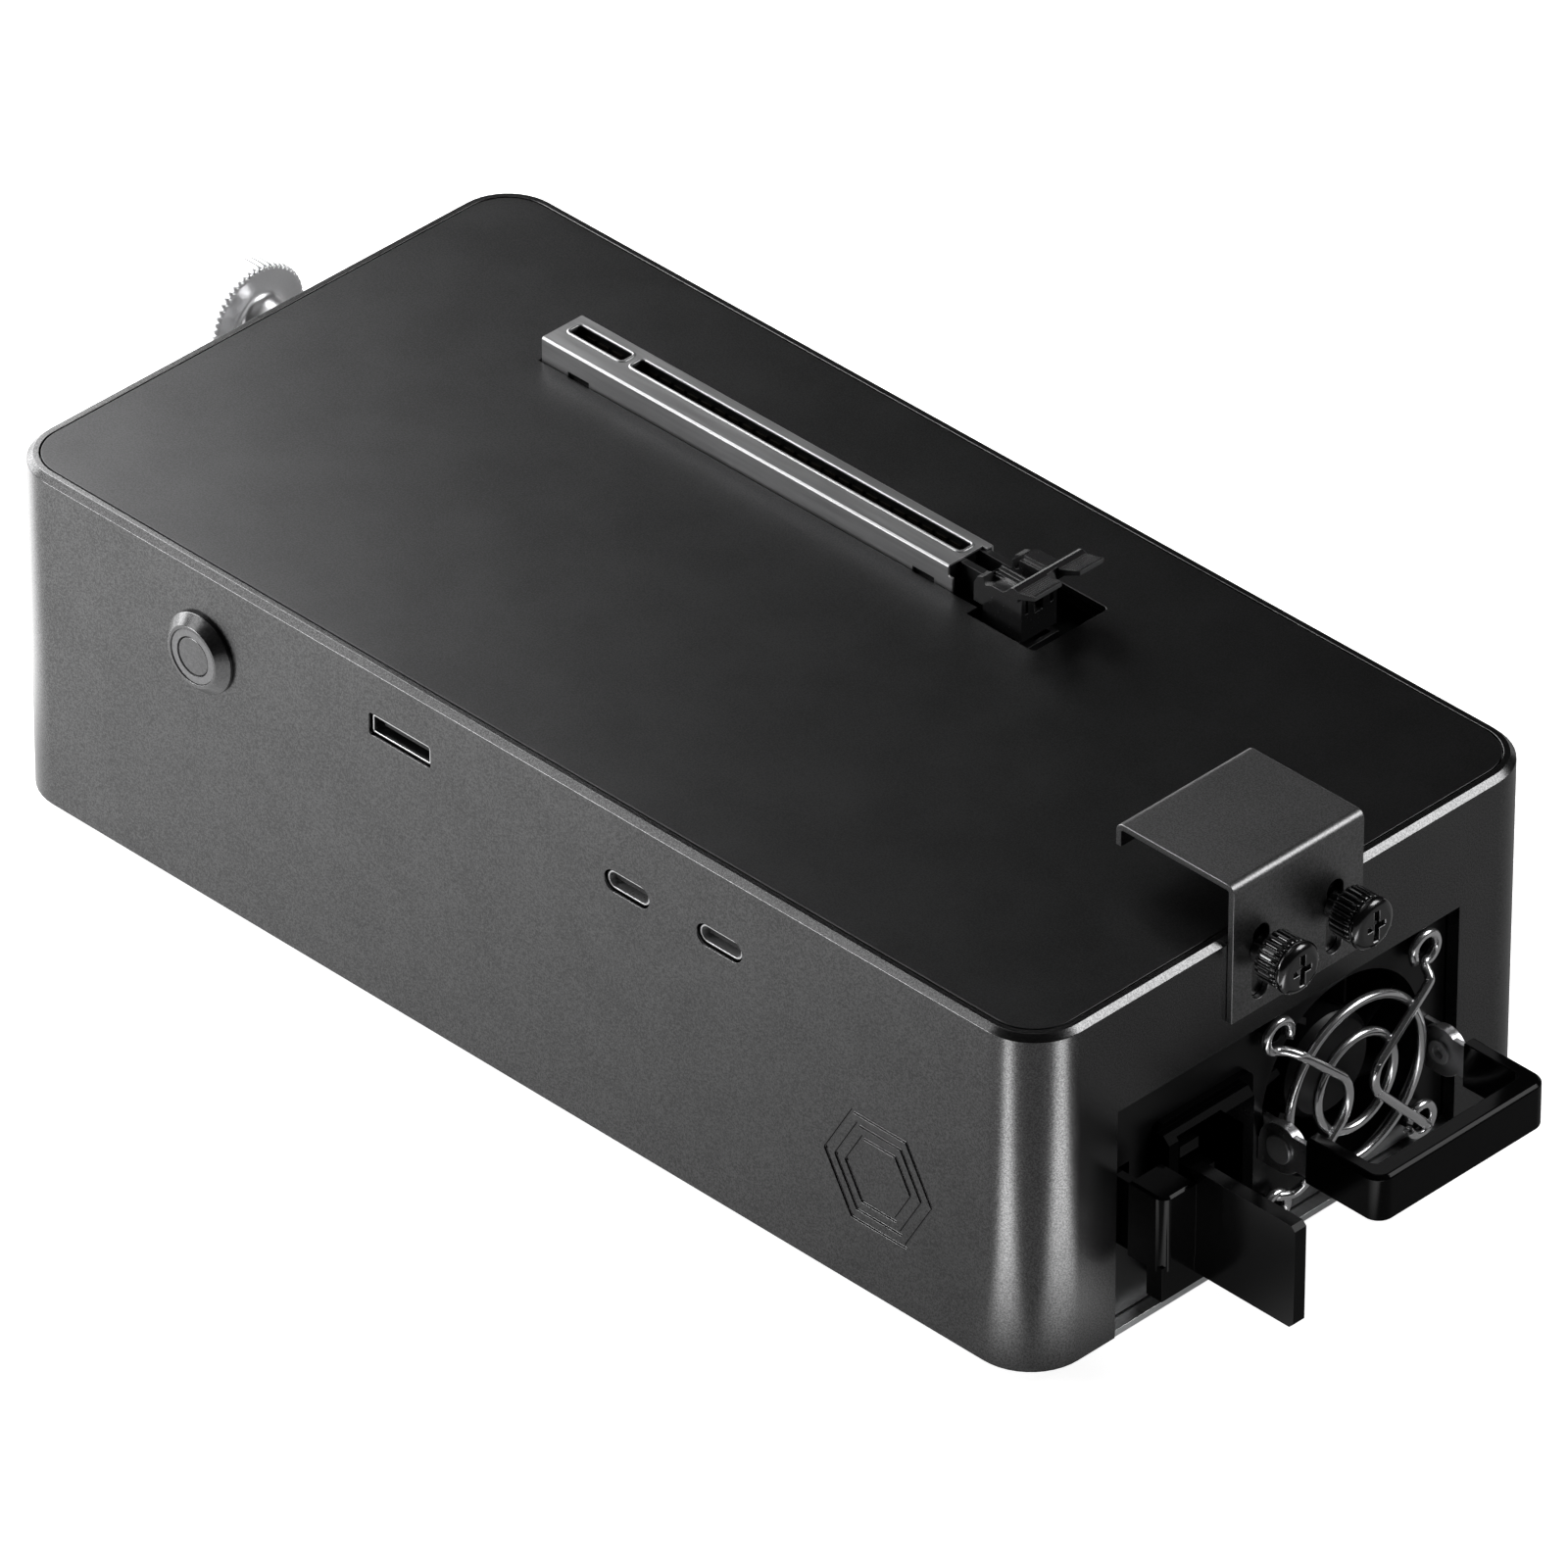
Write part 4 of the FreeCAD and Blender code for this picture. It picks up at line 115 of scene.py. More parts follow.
class LampSettings(bpy.types.PropertyGroup):
    """Strength of the studio's soft lamps, and of the table's painted reflection glow and painted highlight
    strips, which no lamp lights.
    """

    left_power: bpy.props.FloatProperty(
        name="Left lamp", description="Soft lamp in front on the left", default=1.5, unit="POWER")
    side_power: bpy.props.FloatProperty(
        name="Side lamp", description="Soft box close to the left end", default=4.3, unit="POWER")
    low_power: bpy.props.FloatProperty(
        name="Low lamp", description="Low tall lamp in front", default=5.5, unit="POWER")
    high_power: bpy.props.FloatProperty(
        name="High lamp", description="Small soft lamp high on the left", default=2.0, unit="POWER")
    top_power: bpy.props.FloatProperty(
        name="Top lamp", description="Soft overhead lamp", default=0.8, unit="POWER")
    rear_power: bpy.props.FloatProperty(
        name="Rear lamp", description="Soft lamp behind on the right", default=5.0, unit="POWER")
    world: bpy.props.FloatProperty(
        name="Surround", description="Brightness of the studio round the object", default=0.02, min=0)
    table_glow: bpy.props.FloatProperty(
        name="Table", description="Brightness of the plain table in reflections", default=0.12, min=0)
    # Painted reflection: the table's front-left side glows to reflections only, brighter than its plain part,
    # though no lamp lights it.
    painted_side_glow: bpy.props.FloatProperty(
        name="Side glow", description="Extra brightness of the table's lit side in reflections",
        default=1.0, min=0)
    # Painted highlights: strips of the table glow to reflections only, at several times white, and paint
    # highlights on the case's left end and near corner.
    painted_strip_glow: bpy.props.FloatProperty(
        name="Strip glow", description="Brightness of the table's lit strips in reflections",
        default=4.6, min=0)


MILLIMETRE = 0.001

# Rounding of each piece's edges, in millimetres.
EASED = {
    "main_case": 0.4, "top_panel": 0.12, "support_bracket": 0.22, "card_slot_shield": 0.12,
    "card_slot_body": 0.07, "card_latch": 0.03, "pull_handle": 0.22, "release_latch": 0.22,
    "inlet_housing": 0.2, "psu_case": 0.12, "handle_ears": 0.14, "handle_lugs": 0.14,
    "handle_rivets": 0.14, "button_bezel": 0.12, "button_cap": 0.1, "button_light_ring": 0.06,
    "link_port_shell": 0.06, "front_port_shells": 0.06, "fan_frame": 0.12, "rubber_feet": 0.2,
    "bottom_plate": 0.1,
}

# How a CAD node's copy is merged and eased: distances in metres, angles in degrees.
WELD_DISTANCE = 1e-6
FLAT_ANGLE = 0.6
SHARP_ANGLE = 28.0
EDGE_STEPS = 2
FACE_WEIGHT = 50

# Rings of the cup at a wire's open end, and the angle in radians at which it starts.
CUP_STEPS = 4
CUP_START = 0.15

# Scales of the grain, its mottling and the brushed lines, as noise cells in a metre.
GRAIN_SCALE = 2500.0
FINE_GRAIN_SCALE = 3900.0
MOTTLE_SCALE = 90.0
BRUSH_SCALE = 900.0

# The grain's darkest and lightest values, between which the colour and the roughness change.
COLOUR_RANGE = (0.4, 0.6)
ROUGHNESS_RANGE = (0.3, 0.7)
COAT_ROUGHNESS = 0.06

# The table's colour, what reflections keep of it, and its glow to the camera.
TABLE_COLOUR = (0.8, 0.8, 0.8)
REFLECTED_SHARE = 0.2
CAMERA_GLOW = 0.9
TABLE_REACH = 6.0

# Places in metres between which the table's painted reflection glow rises on its front-left side: in front
# along Y, and to the left along X.
FRONT_RISE = (0.02, -0.06)
LEFT_RISE = (0.125, -0.16)
LEAST_LEFT_SHARE = 0.1

# The table's painted highlight strips, which glow to reflections only and are lit by no lamp: the share of
# the strip's glow, then the axis and the two places of each rise that bounds it. They lie at the left end,
# ahead of the near corner and beside it, and paint highlights there on the case.
PAINTED_HIGHLIGHT_STRIPS = (
    (0.32, (("X", -0.116, -0.15), ("Y", -0.085, -0.06))),
    (1.0, (("X", 0.09, 0.103), ("X", 0.121, 0.111), ("Y", -0.056, -0.096), ("Y", -0.24, -0.15))),
    (0.85, (("Y", -0.022, -0.036), ("Y", -0.064, -0.054), ("X", 0.112, 0.158), ("X", 0.3, 0.21))),
)

# Name of each soft lamp, width and height, place and aim, in metres.
LAMPS = (
    ("left", (0.45, 0.6), (-0.75, -0.78, 0.62), (0, 0, 0.03)),
    ("low", (0.36, 0.4), (-0.68, -0.98, 0.24), (0, 0, 0.06)),
    ("high", (0.4, 0.4), (-0.7, -0.02, 1.0), (0, 0, 0.06)),
    ("side", (0.5, 0.5), (-0.499, 0.012, 0.262), (0, 0, 0)),
    ("rear", (0.5, 0.5), (0.62, 0.6, 0.68), (0.05, 0, 0.05)),
    ("top", (1.2, 1.2), (-0.1, -0.1, 1.6), (0, 0, 0)),
)
SENSOR_WIDTH = 36.0
FARTHEST_SEEN = 50.0

BEHAVIOUR = frame["record"]["behaviour"]
NODE_BODY = {node: body for body, nodes in BEHAVIOUR["bodies"].items() for node in nodes}

# The new piece that stands for each CAD node, filled in as the pieces are made.
STANDS_FOR = {}


def placed(name, data):
    """A new object in the scene, at the origin."""
    made = bpy.data.objects.new(name, data)
    bpy.context.scene.collection.objects.link(made)
    return made


def put(name, points, faces, smooth=True):
    """A mesh object from arrays of points and faces, at the origin."""
    mesh = bpy.data.meshes.new(name)
    mesh.from_pydata(np.asarray(points, float).tolist(), [], [list(map(int, face)) for face in faces])
    mesh.validate()
    mesh.polygons.foreach_set("use_smooth", [smooth] * len(mesh.polygons))
    return placed(name, mesh)


def wear(piece, node):
    """Lets a piece ride on the body of a CAD node."""
    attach(piece, NODE_BODY[node])


def stand_for(piece, node):
    """Lets a piece take the place, the body and the finish slot of a CAD node."""
    STANDS_FOR[node] = piece.name
    wear(piece, node)
    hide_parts(node)


def pivot(joint):
    """Where a joint's axis stands at rest, in millimetres."""
    places = {row["name"]: row.get("pos_m") for row in BEHAVIOUR["joints"]}
    return [round(value / MILLIMETRE, 4) for value in places[joint]]


def flatten_faces(piece):
    """Weights the corner normals by area, so that broad faces look flat beside their rounded edges."""
    flat = piece.modifiers.new("flat_faces", "WEIGHTED_NORMAL")
    flat.mode = "FACE_AREA"
    flat.weight = FACE_WEIGHT


def eased_copy(node, width):
    """A merged copy of a CAD node whose sharp edges are rounded over by a bevel of one width."""
    work = bmesh.new()
    work.from_mesh(frame["nodes"][node].data)
    bmesh.ops.remove_doubles(work, verts=work.verts, dist=WELD_DISTANCE)
    bmesh.ops.dissolve_limit(work, angle_limit=math.radians(FLAT_ANGLE), verts=work.verts, edges=work.edges)
    for face in work.faces:
        face.smooth = True
    mesh = bpy.data.meshes.new(node + "_eased")
    work.to_mesh(mesh)
    work.free()
    for layer in ("custom_normal", "sharp_face", "sharp_edge"):
        if layer in mesh.attributes:
            mesh.attributes.remove(mesh.attributes[layer])
    piece = placed(node + "_eased", mesh)
    edge = piece.modifiers.new("eased_edges", "BEVEL")
    edge.limit_method = "ANGLE"
    edge.angle_limit = math.radians(SHARP_ANGLE)
    edge.width = width
    edge.segments = EDGE_STEPS
    edge.harden_normals = True
    flatten_faces(piece)
    stand_for(piece, node)


def unit(rows):
    """Every row of an array at length one."""
    return rows / np.linalg.norm(rows, axis=-1, keepdims=True)


def arc(x, y, z, radius, start, end, steps):
    """Points of a circle square to the X axis: radius times cosine and sine of the angle in degrees."""
    angle = np.radians(np.linspace(start, end, steps + 1))
    return np.stack([np.full(steps + 1, x), y + radius * np.cos(angle), z + radius * np.sin(angle)], -1)


def bend(start, corner, end, radius, steps=9):
    """A straight run, a round bend of the radius inside the corner, and a straight run.

    The bend turns its first radius into its last by shares sin((1 - s) turn) and sin(s turn) over sin turn.
    """
    start, corner, end = (np.array(point, float) for point in (start, corner, end))
    first, second = unit(start - corner), unit(end - corner)
    opening = math.acos(first.dot(second))
    centre = corner + unit(first + second) * radius / math.sin(opening / 2)
    enter = corner + first * radius / math.tan(opening / 2) - centre
    leave = corner + second * radius / math.tan(opening / 2) - centre
    turn = math.pi - opening
    share = np.linspace(0, 1, steps)[:, None]
    swing = enter * np.sin((1 - share) * turn) + leave * np.sin(share * turn)
    curve = centre + swing / math.sin(turn)
    return np.vstack([start, (start + curve[0]) / 2, curve, (end + curve[-1]) / 2, end])


def smooth_path(points, steps):
    """A smooth curve through the points: on each leg the cubic of its four neighbours, at equal steps."""
    points = np.asarray(points, float)
    legs = np.arange(len(points) - 1)
    p0, p1, p2, p3 = (points[np.clip(legs + shift, 0, len(points) - 1)][:, None, :]
                      for shift in (-1, 0, 1, 2))
    t = (np.arange(steps) / steps)[None, :, None]
    curve = 0.5 * (2 * p1 + (p2 - p0) * t + (2 * p0 - 5 * p1 + 4 * p2 - p3) * t ** 2
                   + (3 * p1 - p0 - 3 * p2 + p3) * t ** 3)
    return np.vstack([curve.reshape(-1, 3), points[-1:]])


def tube_surface(path, radius, sides, closed):
    """A round wire: a circle of the radius carried along the path in frames that do not twist.

    Point (i, j) is path[i] + radius * (cos a_j * side_i + sin a_j * over_i). Each end of an open path is
    a small cup, whose rings have the radius times the sine of an angle and stand off by its versed sine.
    """
    path = np.asarray(path, float)
    if closed:
        tangent = unit(np.roll(path, -1, 0) - np.roll(path, 1, 0))
    else:
        tangent = unit(np.gradient(path, axis=0))
    side = np.empty_like(path)
    seed = np.cross(tangent[0], (1.0, 0.0, 0.0))
    side[0] = seed / np.linalg.norm(seed)
    for index in range(1, len(path)):
        flat = side[index - 1] - tangent[index] * side[index - 1].dot(tangent[index])
        side[index] = flat / np.linalg.norm(flat)
    over = np.cross(tangent, side)
    scale = np.ones(len(path))
    if not closed:
        lean = np.linspace(CUP_START, math.pi / 2, CUP_STEPS)
        reach = radius * (1 - np.cos(lean))
        path = np.vstack([path[0] - tangent[0] * reach[:, None], path[1:-1],
                          path[-1] + tangent[-1] * reach[::-1, None]])
        side, over = (np.vstack([np.repeat(rows[:1], CUP_STEPS, 0), rows[1:-1],
                                 np.repeat(rows[-1:], CUP_STEPS, 0)]) for rows in (side, over))
        scale = np.concatenate([np.sin(lean), np.ones(len(path) - 2 * CUP_STEPS), np.sin(lean)[::-1]])
    angle = np.arange(sides) * 2 * math.pi / sides
    ring = np.cos(angle)[None, :, None] * side[:, None] + np.sin(angle)[None, :, None] * over[:, None]
    points = path[:, None] + radius * scale[:, None, None] * ring
    return points.reshape(-1, 3), grid_faces(len(path), sides, closed)


def grid_faces(rows, columns, closed):
    """Quads of a grid whose columns wrap; its rows wrap too where it is closed, or both ends get a face."""
    i = np.arange(rows if closed else rows - 1)[:, None]
    j = np.arange(columns)[None, :]
    a = i * columns + j
    b = i * columns + (j + 1) % columns
    c = ((i + 1) % rows) * columns + (j + 1) % columns
    d = ((i + 1) % rows) * columns + j
    faces = np.stack([a, b, c, d], -1).reshape(-1, 4).tolist()
    if not closed:
        faces.append(list(range(columns))[::-1])
        faces.append([(rows - 1) * columns + k for k in range(columns)])
    return faces


def outward(mesh):
    """Turns the faces of a closed mesh outwards."""
    work = bmesh.new()
    work.from_mesh(mesh)
    bmesh.ops.remove_doubles(work, verts=work.verts, dist=0.1 * WELD_DISTANCE)
    bmesh.ops.recalc_face_normals(work, faces=work.faces)
    work.to_mesh(mesh)
    work.free()


def merged(name, parts):
    """One mesh object of several (points, faces) surfaces, in millimetres, with faces outwards."""
    points, faces, start = [], [], 0
    for some, quads in parts:
        points.append(np.asarray(some, float))
        faces += [[corner + start for corner in quad] for quad in quads]
        start += len(some)
    piece = put(name, np.vstack(points) * MILLIMETRE, faces)
    outward(piece.data)
    return piece


def knurl(angle, teeth, steepness, height, root):
    """A triangle wave of the teeth round the angle, cut flat at its crests: height times wave, less root."""
    wave = np.abs((angle * teeth / (2 * math.pi)) % 1.0 * 2 - 1)
    return np.clip(wave * steepness, 0, 1) * height - root


def turned(node, points):
    """A closed turned piece on a grid of points in millimetres, in place of a CAD node."""
    rows, columns = points.shape[:2]
    piece = merged(node + "_turned", [(points.reshape(-1, 3), grid_faces(rows, columns, False))])
    flatten_faces(piece)
    stand_for(piece, node)


def node_group(name, inputs, outputs):
    """An empty shader group with float inputs (name, default) and named float outputs."""
    group = bpy.data.node_groups.new(name, "ShaderNodeTree")
    for title, default in inputs:
        socket = group.interface.new_socket(name=title, in_out="INPUT", socket_type="NodeSocketFloat")
        socket.default_value = default
    for title in outputs:
        group.interface.new_socket(name=title, in_out="OUTPUT", socket_type="NodeSocketFloat")
    return group, group.nodes.new("NodeGroupInput"), group.nodes.new("NodeGroupOutput")


def add(tree, kind, **values):
    """A shader node with its properties and plain input values set."""
    made = tree.nodes.new("ShaderNode" + kind)
    for title, value in values.items():
        if title in made.bl_rna.properties:
            setattr(made, title, value)
        else:
            made.inputs[title.replace("_", " ")].default_value = value
    return made


def build_grain_group():
    """Blasted or moulded grain: fine noise over broad mottling, as a shade and a height."""
    group, entry, leave = node_group(
        "surface_grain", [("Size", GRAIN_SCALE), ("Mottle", 0.3)], ["Shade", "Height"])
    place = add(group, "TexCoord")
    fine = add(group, "TexNoise", Detail=3.0, Roughness=0.65)
    broad = add(group, "TexNoise", Detail=2.0, Roughness=0.5, Scale=MOTTLE_SCALE)
    mix = add(group, "Mix")
    link = group.links.new
    link(place.outputs["Object"], fine.inputs["Vector"])
    link(place.outputs["Object"], broad.inputs["Vector"])
    link(entry.outputs["Size"], fine.inputs["Scale"])
    link(entry.outputs["Mottle"], mix.inputs["Factor"])
    link(fine.outputs["Fac"], mix.inputs["A"])
    link(broad.outputs["Fac"], mix.inputs["B"])
    link(mix.outputs["Result"], leave.inputs["Shade"])
    link(fine.outputs["Fac"], leave.inputs["Height"])
    return group


def build_brush_group():
    """Brushed or turned lines: noise stretched along one axis, as a shade and a height."""
    group, entry, leave = node_group(
        "brushed_lines", [("Size", BRUSH_SCALE), ("X", 1.0), ("Y", 1.0), ("Z", 1.0)], ["Shade", "Height"])
    place = add(group, "TexCoord")
    stretch = add(group, "CombineXYZ")
    scaled = add(group, "VectorMath", operation="MULTIPLY")
    lines = add(group, "TexNoise", Detail=3.0, Roughness=0.6)
    link = group.links.new
    for axis in "XYZ":
        link(entry.outputs[axis], stretch.inputs[axis])
    link(place.outputs["Object"], scaled.inputs[0])
    link(stretch.outputs["Vector"], scaled.inputs[1])
    link(scaled.outputs["Vector"], lines.inputs["Vector"])
    link(entry.outputs["Size"], lines.inputs["Scale"])
    link(lines.outputs["Fac"], leave.inputs["Shade"])
    link(lines.outputs["Fac"], leave.inputs["Height"])
    return group


def span(tree, value, before, after=(0.0, 1.0), kind="LINEAR"):
    """A value carried from one range, start and end, to another."""
    step = add(tree, "MapRange", interpolation_type=kind)
    step.inputs["From Min"].default_value, step.inputs["From Max"].default_value = before
    step.inputs["To Min"].default_value, step.inputs["To Max"].default_value = after
    tree.links.new(value, step.inputs["Value"])
    return step.outputs["Result"]


def finish_material(name, group, values, colours, roughness, bump, metallic=0.0, coat=0.0, specular=0.5):
    """A material whose colour, roughness and bump come from one of the shared groups.

    colours and roughness are pairs for the grain's dark and light places; bump is a height in metres.
    """
    material = bpy.data.materials.new(name)
    material.use_nodes = True
    tree = material.node_tree
    tree.nodes.clear()
    link = tree.links.new
    out = tree.nodes.new("ShaderNodeOutputMaterial")
    shader = add(tree, "BsdfPrincipled", Metallic=metallic, Coat_Weight=coat,
                 Coat_Roughness=COAT_ROUGHNESS, Specular_IOR_Level=specular)
    grain = tree.nodes.new("ShaderNodeGroup")
    grain.node_tree = group
    for title, value in values.items():
        grain.inputs[title].default_value = value
    tone = add(tree, "Mix", data_type="RGBA")
    tone.inputs["A"].default_value = (*colours[0], 1)
    tone.inputs["B"].default_value = (*colours[1], 1)
    relief = add(tree, "Bump", Strength=1.0, Distance=bump)
    link(span(tree, grain.outputs["Shade"], COLOUR_RANGE), tone.inputs["Factor"])
    link(tone.outputs["Result"], shader.inputs["Base Color"])
    link(span(tree, grain.outputs["Shade"], ROUGHNESS_RANGE, roughness), shader.inputs["Roughness"])
    link(grain.outputs["Height"], relief.inputs["Height"])
    link(relief.outputs["Normal"], shader.inputs["Normal"])
    link(shader.outputs["BSDF"], out.inputs["Surface"])
    return material


def shades(colour, spread):
    """A darker and a lighter form of one colour."""
    return tuple(tuple(channel * factor for channel in colour) for factor in (1 - spread, 1 + spread))


def grained(name, colour, spread, roughness, bump, size=GRAIN_SCALE, mottle=0.3, **more):
    """A blasted or moulded finish: a colour and its spread, a range of roughness, and the grain's height."""
    group = bpy.data.node_groups.get("surface_grain") or build_grain_group()
    return finish_material(name, group, {"Size": size, "Mottle": mottle}, shades(colour, spread),
                           roughness, bump, **more)


def brushed(name, colour, spread, roughness, bump, along, **more):
    """A finish brushed along X, the noise being drawn out there by one over the given factor."""
    group = bpy.data.node_groups.get("brushed_lines") or build_brush_group()
    return finish_material(name, group, {"Size": BRUSH_SCALE, "X": along, "Y": 1, "Z": 1},
                           shades(colour, spread), roughness, bump, **more)


def dress(material, *names):
    """Gives a material to CAD nodes and what stands for them, or to new pieces."""
    for name in names:
        for title in (name, STANDS_FOR.get(name, name)):
            mesh = bpy.data.objects[title].data
            mesh.materials.clear()
            mesh.materials.append(material)


class ENCLOSURE_OT_eased(bpy.types.Operator):
    """Gives the machined, folded and moulded pieces rounded edges that catch the light"""

    bl_idname = "enclosure.eased"
    bl_label = "Eased edges"

    def execute(self, context):
        for node, width in EASED.items():
            eased_copy(node, width * MILLIMETRE)
        return {"FINISHED"}


class ENCLOSURE_OT_guard(bpy.types.Operator):
    """Bends the fan guard from round bright wire: two rings and two bent spokes that end in four hooks"""

    bl_idname = "enclosure.guard"
    bl_label = "Fan guard"

    def execute(self, context):
        wire = context.scene.enclosure_sizes.guard_wire / MILLIMETRE
        ring_x, spoke_x, hook_x = 112.3, 113.4, 111.15
        hook_offset, hook = 16.0, 2.6
        outer_ring, inner_ring = 14.5, 8.3
        ring_steps, ring_sides, spoke_steps, spoke_sides = 96, 20, 5, 16
        y, z = pivot("fan_spin")[1:]
        left, right, low, high = y - hook_offset, y + hook_offset, z - hook_offset, z + hook_offset
        middle_x = (hook_x + spoke_x) / 2
        parts = []
        for radius in (outer_ring, inner_ring):
            loop = arc(ring_x, y, z, radius, 0, 360, ring_steps)[:-1]
            parts.append(tube_surface(loop, wire, ring_sides, True))
        left_spoke = np.vstack([
            arc(hook_x, left, high, hook, -14, 262, 12),
            [(middle_x - 0.3, left + 1.0, high - 2.9), (spoke_x - 0.3, left + 2.3, high - 3.6)],
            bend((spoke_x, left + 3.4, high - 4.5), (spoke_x, y + 0.3, z - 0.6),
                 (spoke_x, left + 4.9, low + 4.7), 6.2),
            [(spoke_x - 0.3, left + 4.2, low + 3.2), (middle_x, left + 2.6, low + 1.9),
             (hook_x + 0.2, left + 0.2, low + 2.2)]])
        right_spoke = np.vstack([
            arc(hook_x, right, high, hook, 200, -90, 12),
            [(middle_x - 0.2, right - 0.6, high - 3.1), (spoke_x - 0.3, right - 1.0, high - 3.9)],
            bend((spoke_x, right - 1.7, high - 4.9), (spoke_x, y + 1.1, z - 0.6),
                 (spoke_x, right - 2.9, low + 2.7), 4.5),
            [(middle_x + 0.4, right - 1.0, low + 0.7), (hook_x + 0.2, right + 1.4, low - 1.6)]])
        lower_hooks = (arc(hook_x, left, low, hook, -150, 130, 12),
                       arc(hook_x, right, low, hook, 150, -150, 13))
        for run in (left_spoke, right_spoke, *lower_hooks):
            parts.append(tube_surface(smooth_path(run, spoke_steps), wire, spoke_sides, False))
        stand_for(merged("guard_wires", parts), "fan_guard")
        return {"FINISHED"}


class ENCLOSURE_OT_knob(bpy.types.Operator):
    """Turns the end knob with its straight knurl and long collar

    With t the distance behind the outer face and a the angle, a point is
    (face + t, y + r cos a, z + r sin a), and r is the profile's radius plus its share of the knurl.
    """

    bl_idname = "enclosure.knob"
    bl_label = "End knob"

    def execute(self, context):
        teeth, steps_in_tooth = context.scene.enclosure_sizes.knob_teeth, 10
        steepness, ridge_height, ridge_root = 1.9, 0.55, 0.33
        face = round(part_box("end_knob")[0][0] / MILLIMETRE, 3)
        y, z = pivot("knob_turn")[1:]
        # Distance behind the outer face, radius, and share of the knurl.
        profile = np.array([
            (0.0, 0.02, 0), (0.0, 4.0, 0), (0.0, 7.6, 0), (0.0, 8.8, 0), (0.06, 9.2, 0.2), (0.2, 9.5, 0.7),
            (0.4, 9.62, 1), (1.3, 9.62, 1), (2.25, 9.62, 1), (3.2, 9.62, 1), (4.1, 9.62, 1), (4.36, 9.5, 0.8),
            (4.47, 9.3, 0.3), (4.5, 9.1, 0), (4.5, 8.9, 0), (4.47, 8.6, 0), (4.44, 8.0, 0), (4.42, 7.2, 0),
            (4.42, 6.4, 0), (4.5, 5.7, 0), (4.75, 5.1, 0), (5.25, 4.68, 0), (5.9, 4.45, 0), (6.7, 4.4, 0),
            (10.0, 4.4, 0), (14.3, 4.4, 0), (14.6, 4.3, 0), (14.7, 4.1, 0), (14.7, 2.5, 0), (17.8, 2.5, 0),
            (17.8, 0.02, 0)])
        behind, girth, share = (column[:, None] for column in profile.T)
        angle = np.arange(teeth * steps_in_tooth) * 2 * math.pi / (teeth * steps_in_tooth)
        radius = girth + share * knurl(angle, teeth, steepness, ridge_height, ridge_root)
        turned("end_knob", np.stack([np.broadcast_to(face + behind, radius.shape),
                                     y + radius * np.cos(angle), z + radius * np.sin(angle)], -1))
        return {"FINISHED"}


class ENCLOSURE_OT_screws(bpy.types.Operator):
    """Turns the two thumb screws: a domed head with a crosswise recess, a fine knurl, a collar and a shank

    With t the distance behind the head's face and a the angle, a point is
    (head - t, y + r cos a, z + r sin a); r is the profile's radius plus its share of the knurl, and
    on the face t is the depth of the cross at (r cos a, r sin a).
    """

    bl_idname = "enclosure.screws"
    bl_label = "Thumb screws"

    def execute(self, context):
        teeth, steps_in_tooth = context.scene.enclosure_sizes.screw_teeth, 10
        steepness, ridge_height, ridge_root = 1.9, 0.5, 0.32
        head, hub, face, face_rings = 121.55, 0.02, 2.95, 32
        upright_width, upright_length, level_width, level_length = 0.55, 2.75, 0.48, 1.9
        # Distance behind the head's face, radius, and share of the knurl.
        profile = np.array([
            (0.02, 3.05, 0), (0.1, 3.35, 0), (0.26, 3.72, 0), (0.5, 4.05, 0), (0.8, 4.28, 0), (1.1, 4.38, 0),
            (1.42, 4.38, 0), (1.56, 4.3, 0), (1.6, 4.15, 0), (1.63, 3.7, 0), (2.0, 3.62, 0), (2.05, 3.72, 0),
            (2.08, 3.86, 0.4), (2.3, 4.02, 1), (3.3, 4.02, 1), (5.2, 4.02, 1), (6.05, 4.02, 1),
            (6.22, 3.86, 0.4), (6.25, 3.5, 0), (6.25, 2.6, 0), (6.35, 2.5, 0), (8.45, 2.5, 0), (8.55, 2.4, 0),
            (8.55, 1.5, 0), (12.4, 1.5, 0), (12.55, 1.3, 0), (12.55, 0.02, 0)])
        back, girth, share = (column[:, None] for column in profile.T)
        angle = np.arange(teeth * steps_in_tooth) * 2 * math.pi / (teeth * steps_in_tooth)
        across, along = np.cos(angle), np.sin(angle)
        rings = np.linspace(hub, face, face_rings)[:, None]
        depth = np.maximum(
            self.bar(rings * across, upright_width) * self.bar(rings * along, upright_length),
            self.bar(rings * across, level_length) * self.bar(rings * along, level_width))
        crest = knurl(angle, teeth, steepness, ridge_height, ridge_root)
        radius = np.vstack([np.broadcast_to(rings, depth.shape), girth + share * crest])
        behind = np.vstack([depth, np.broadcast_to(back, (len(profile), len(angle)))])
        for place in ("front", "rear"):
            y, z = pivot("thumb_turn_" + place)[1:]
            turned("thumb_screw_" + place,
                   np.stack([head - behind, y + radius * across, z + radius * along], -1))
        return {"FINISHED"}

    def bar(self, distance, half, slope=0.16):
        """One inside the half width and nought outside, over a slope in millimetres."""
        return np.clip((half - np.abs(distance)) / slope + 0.5, 0, 1)


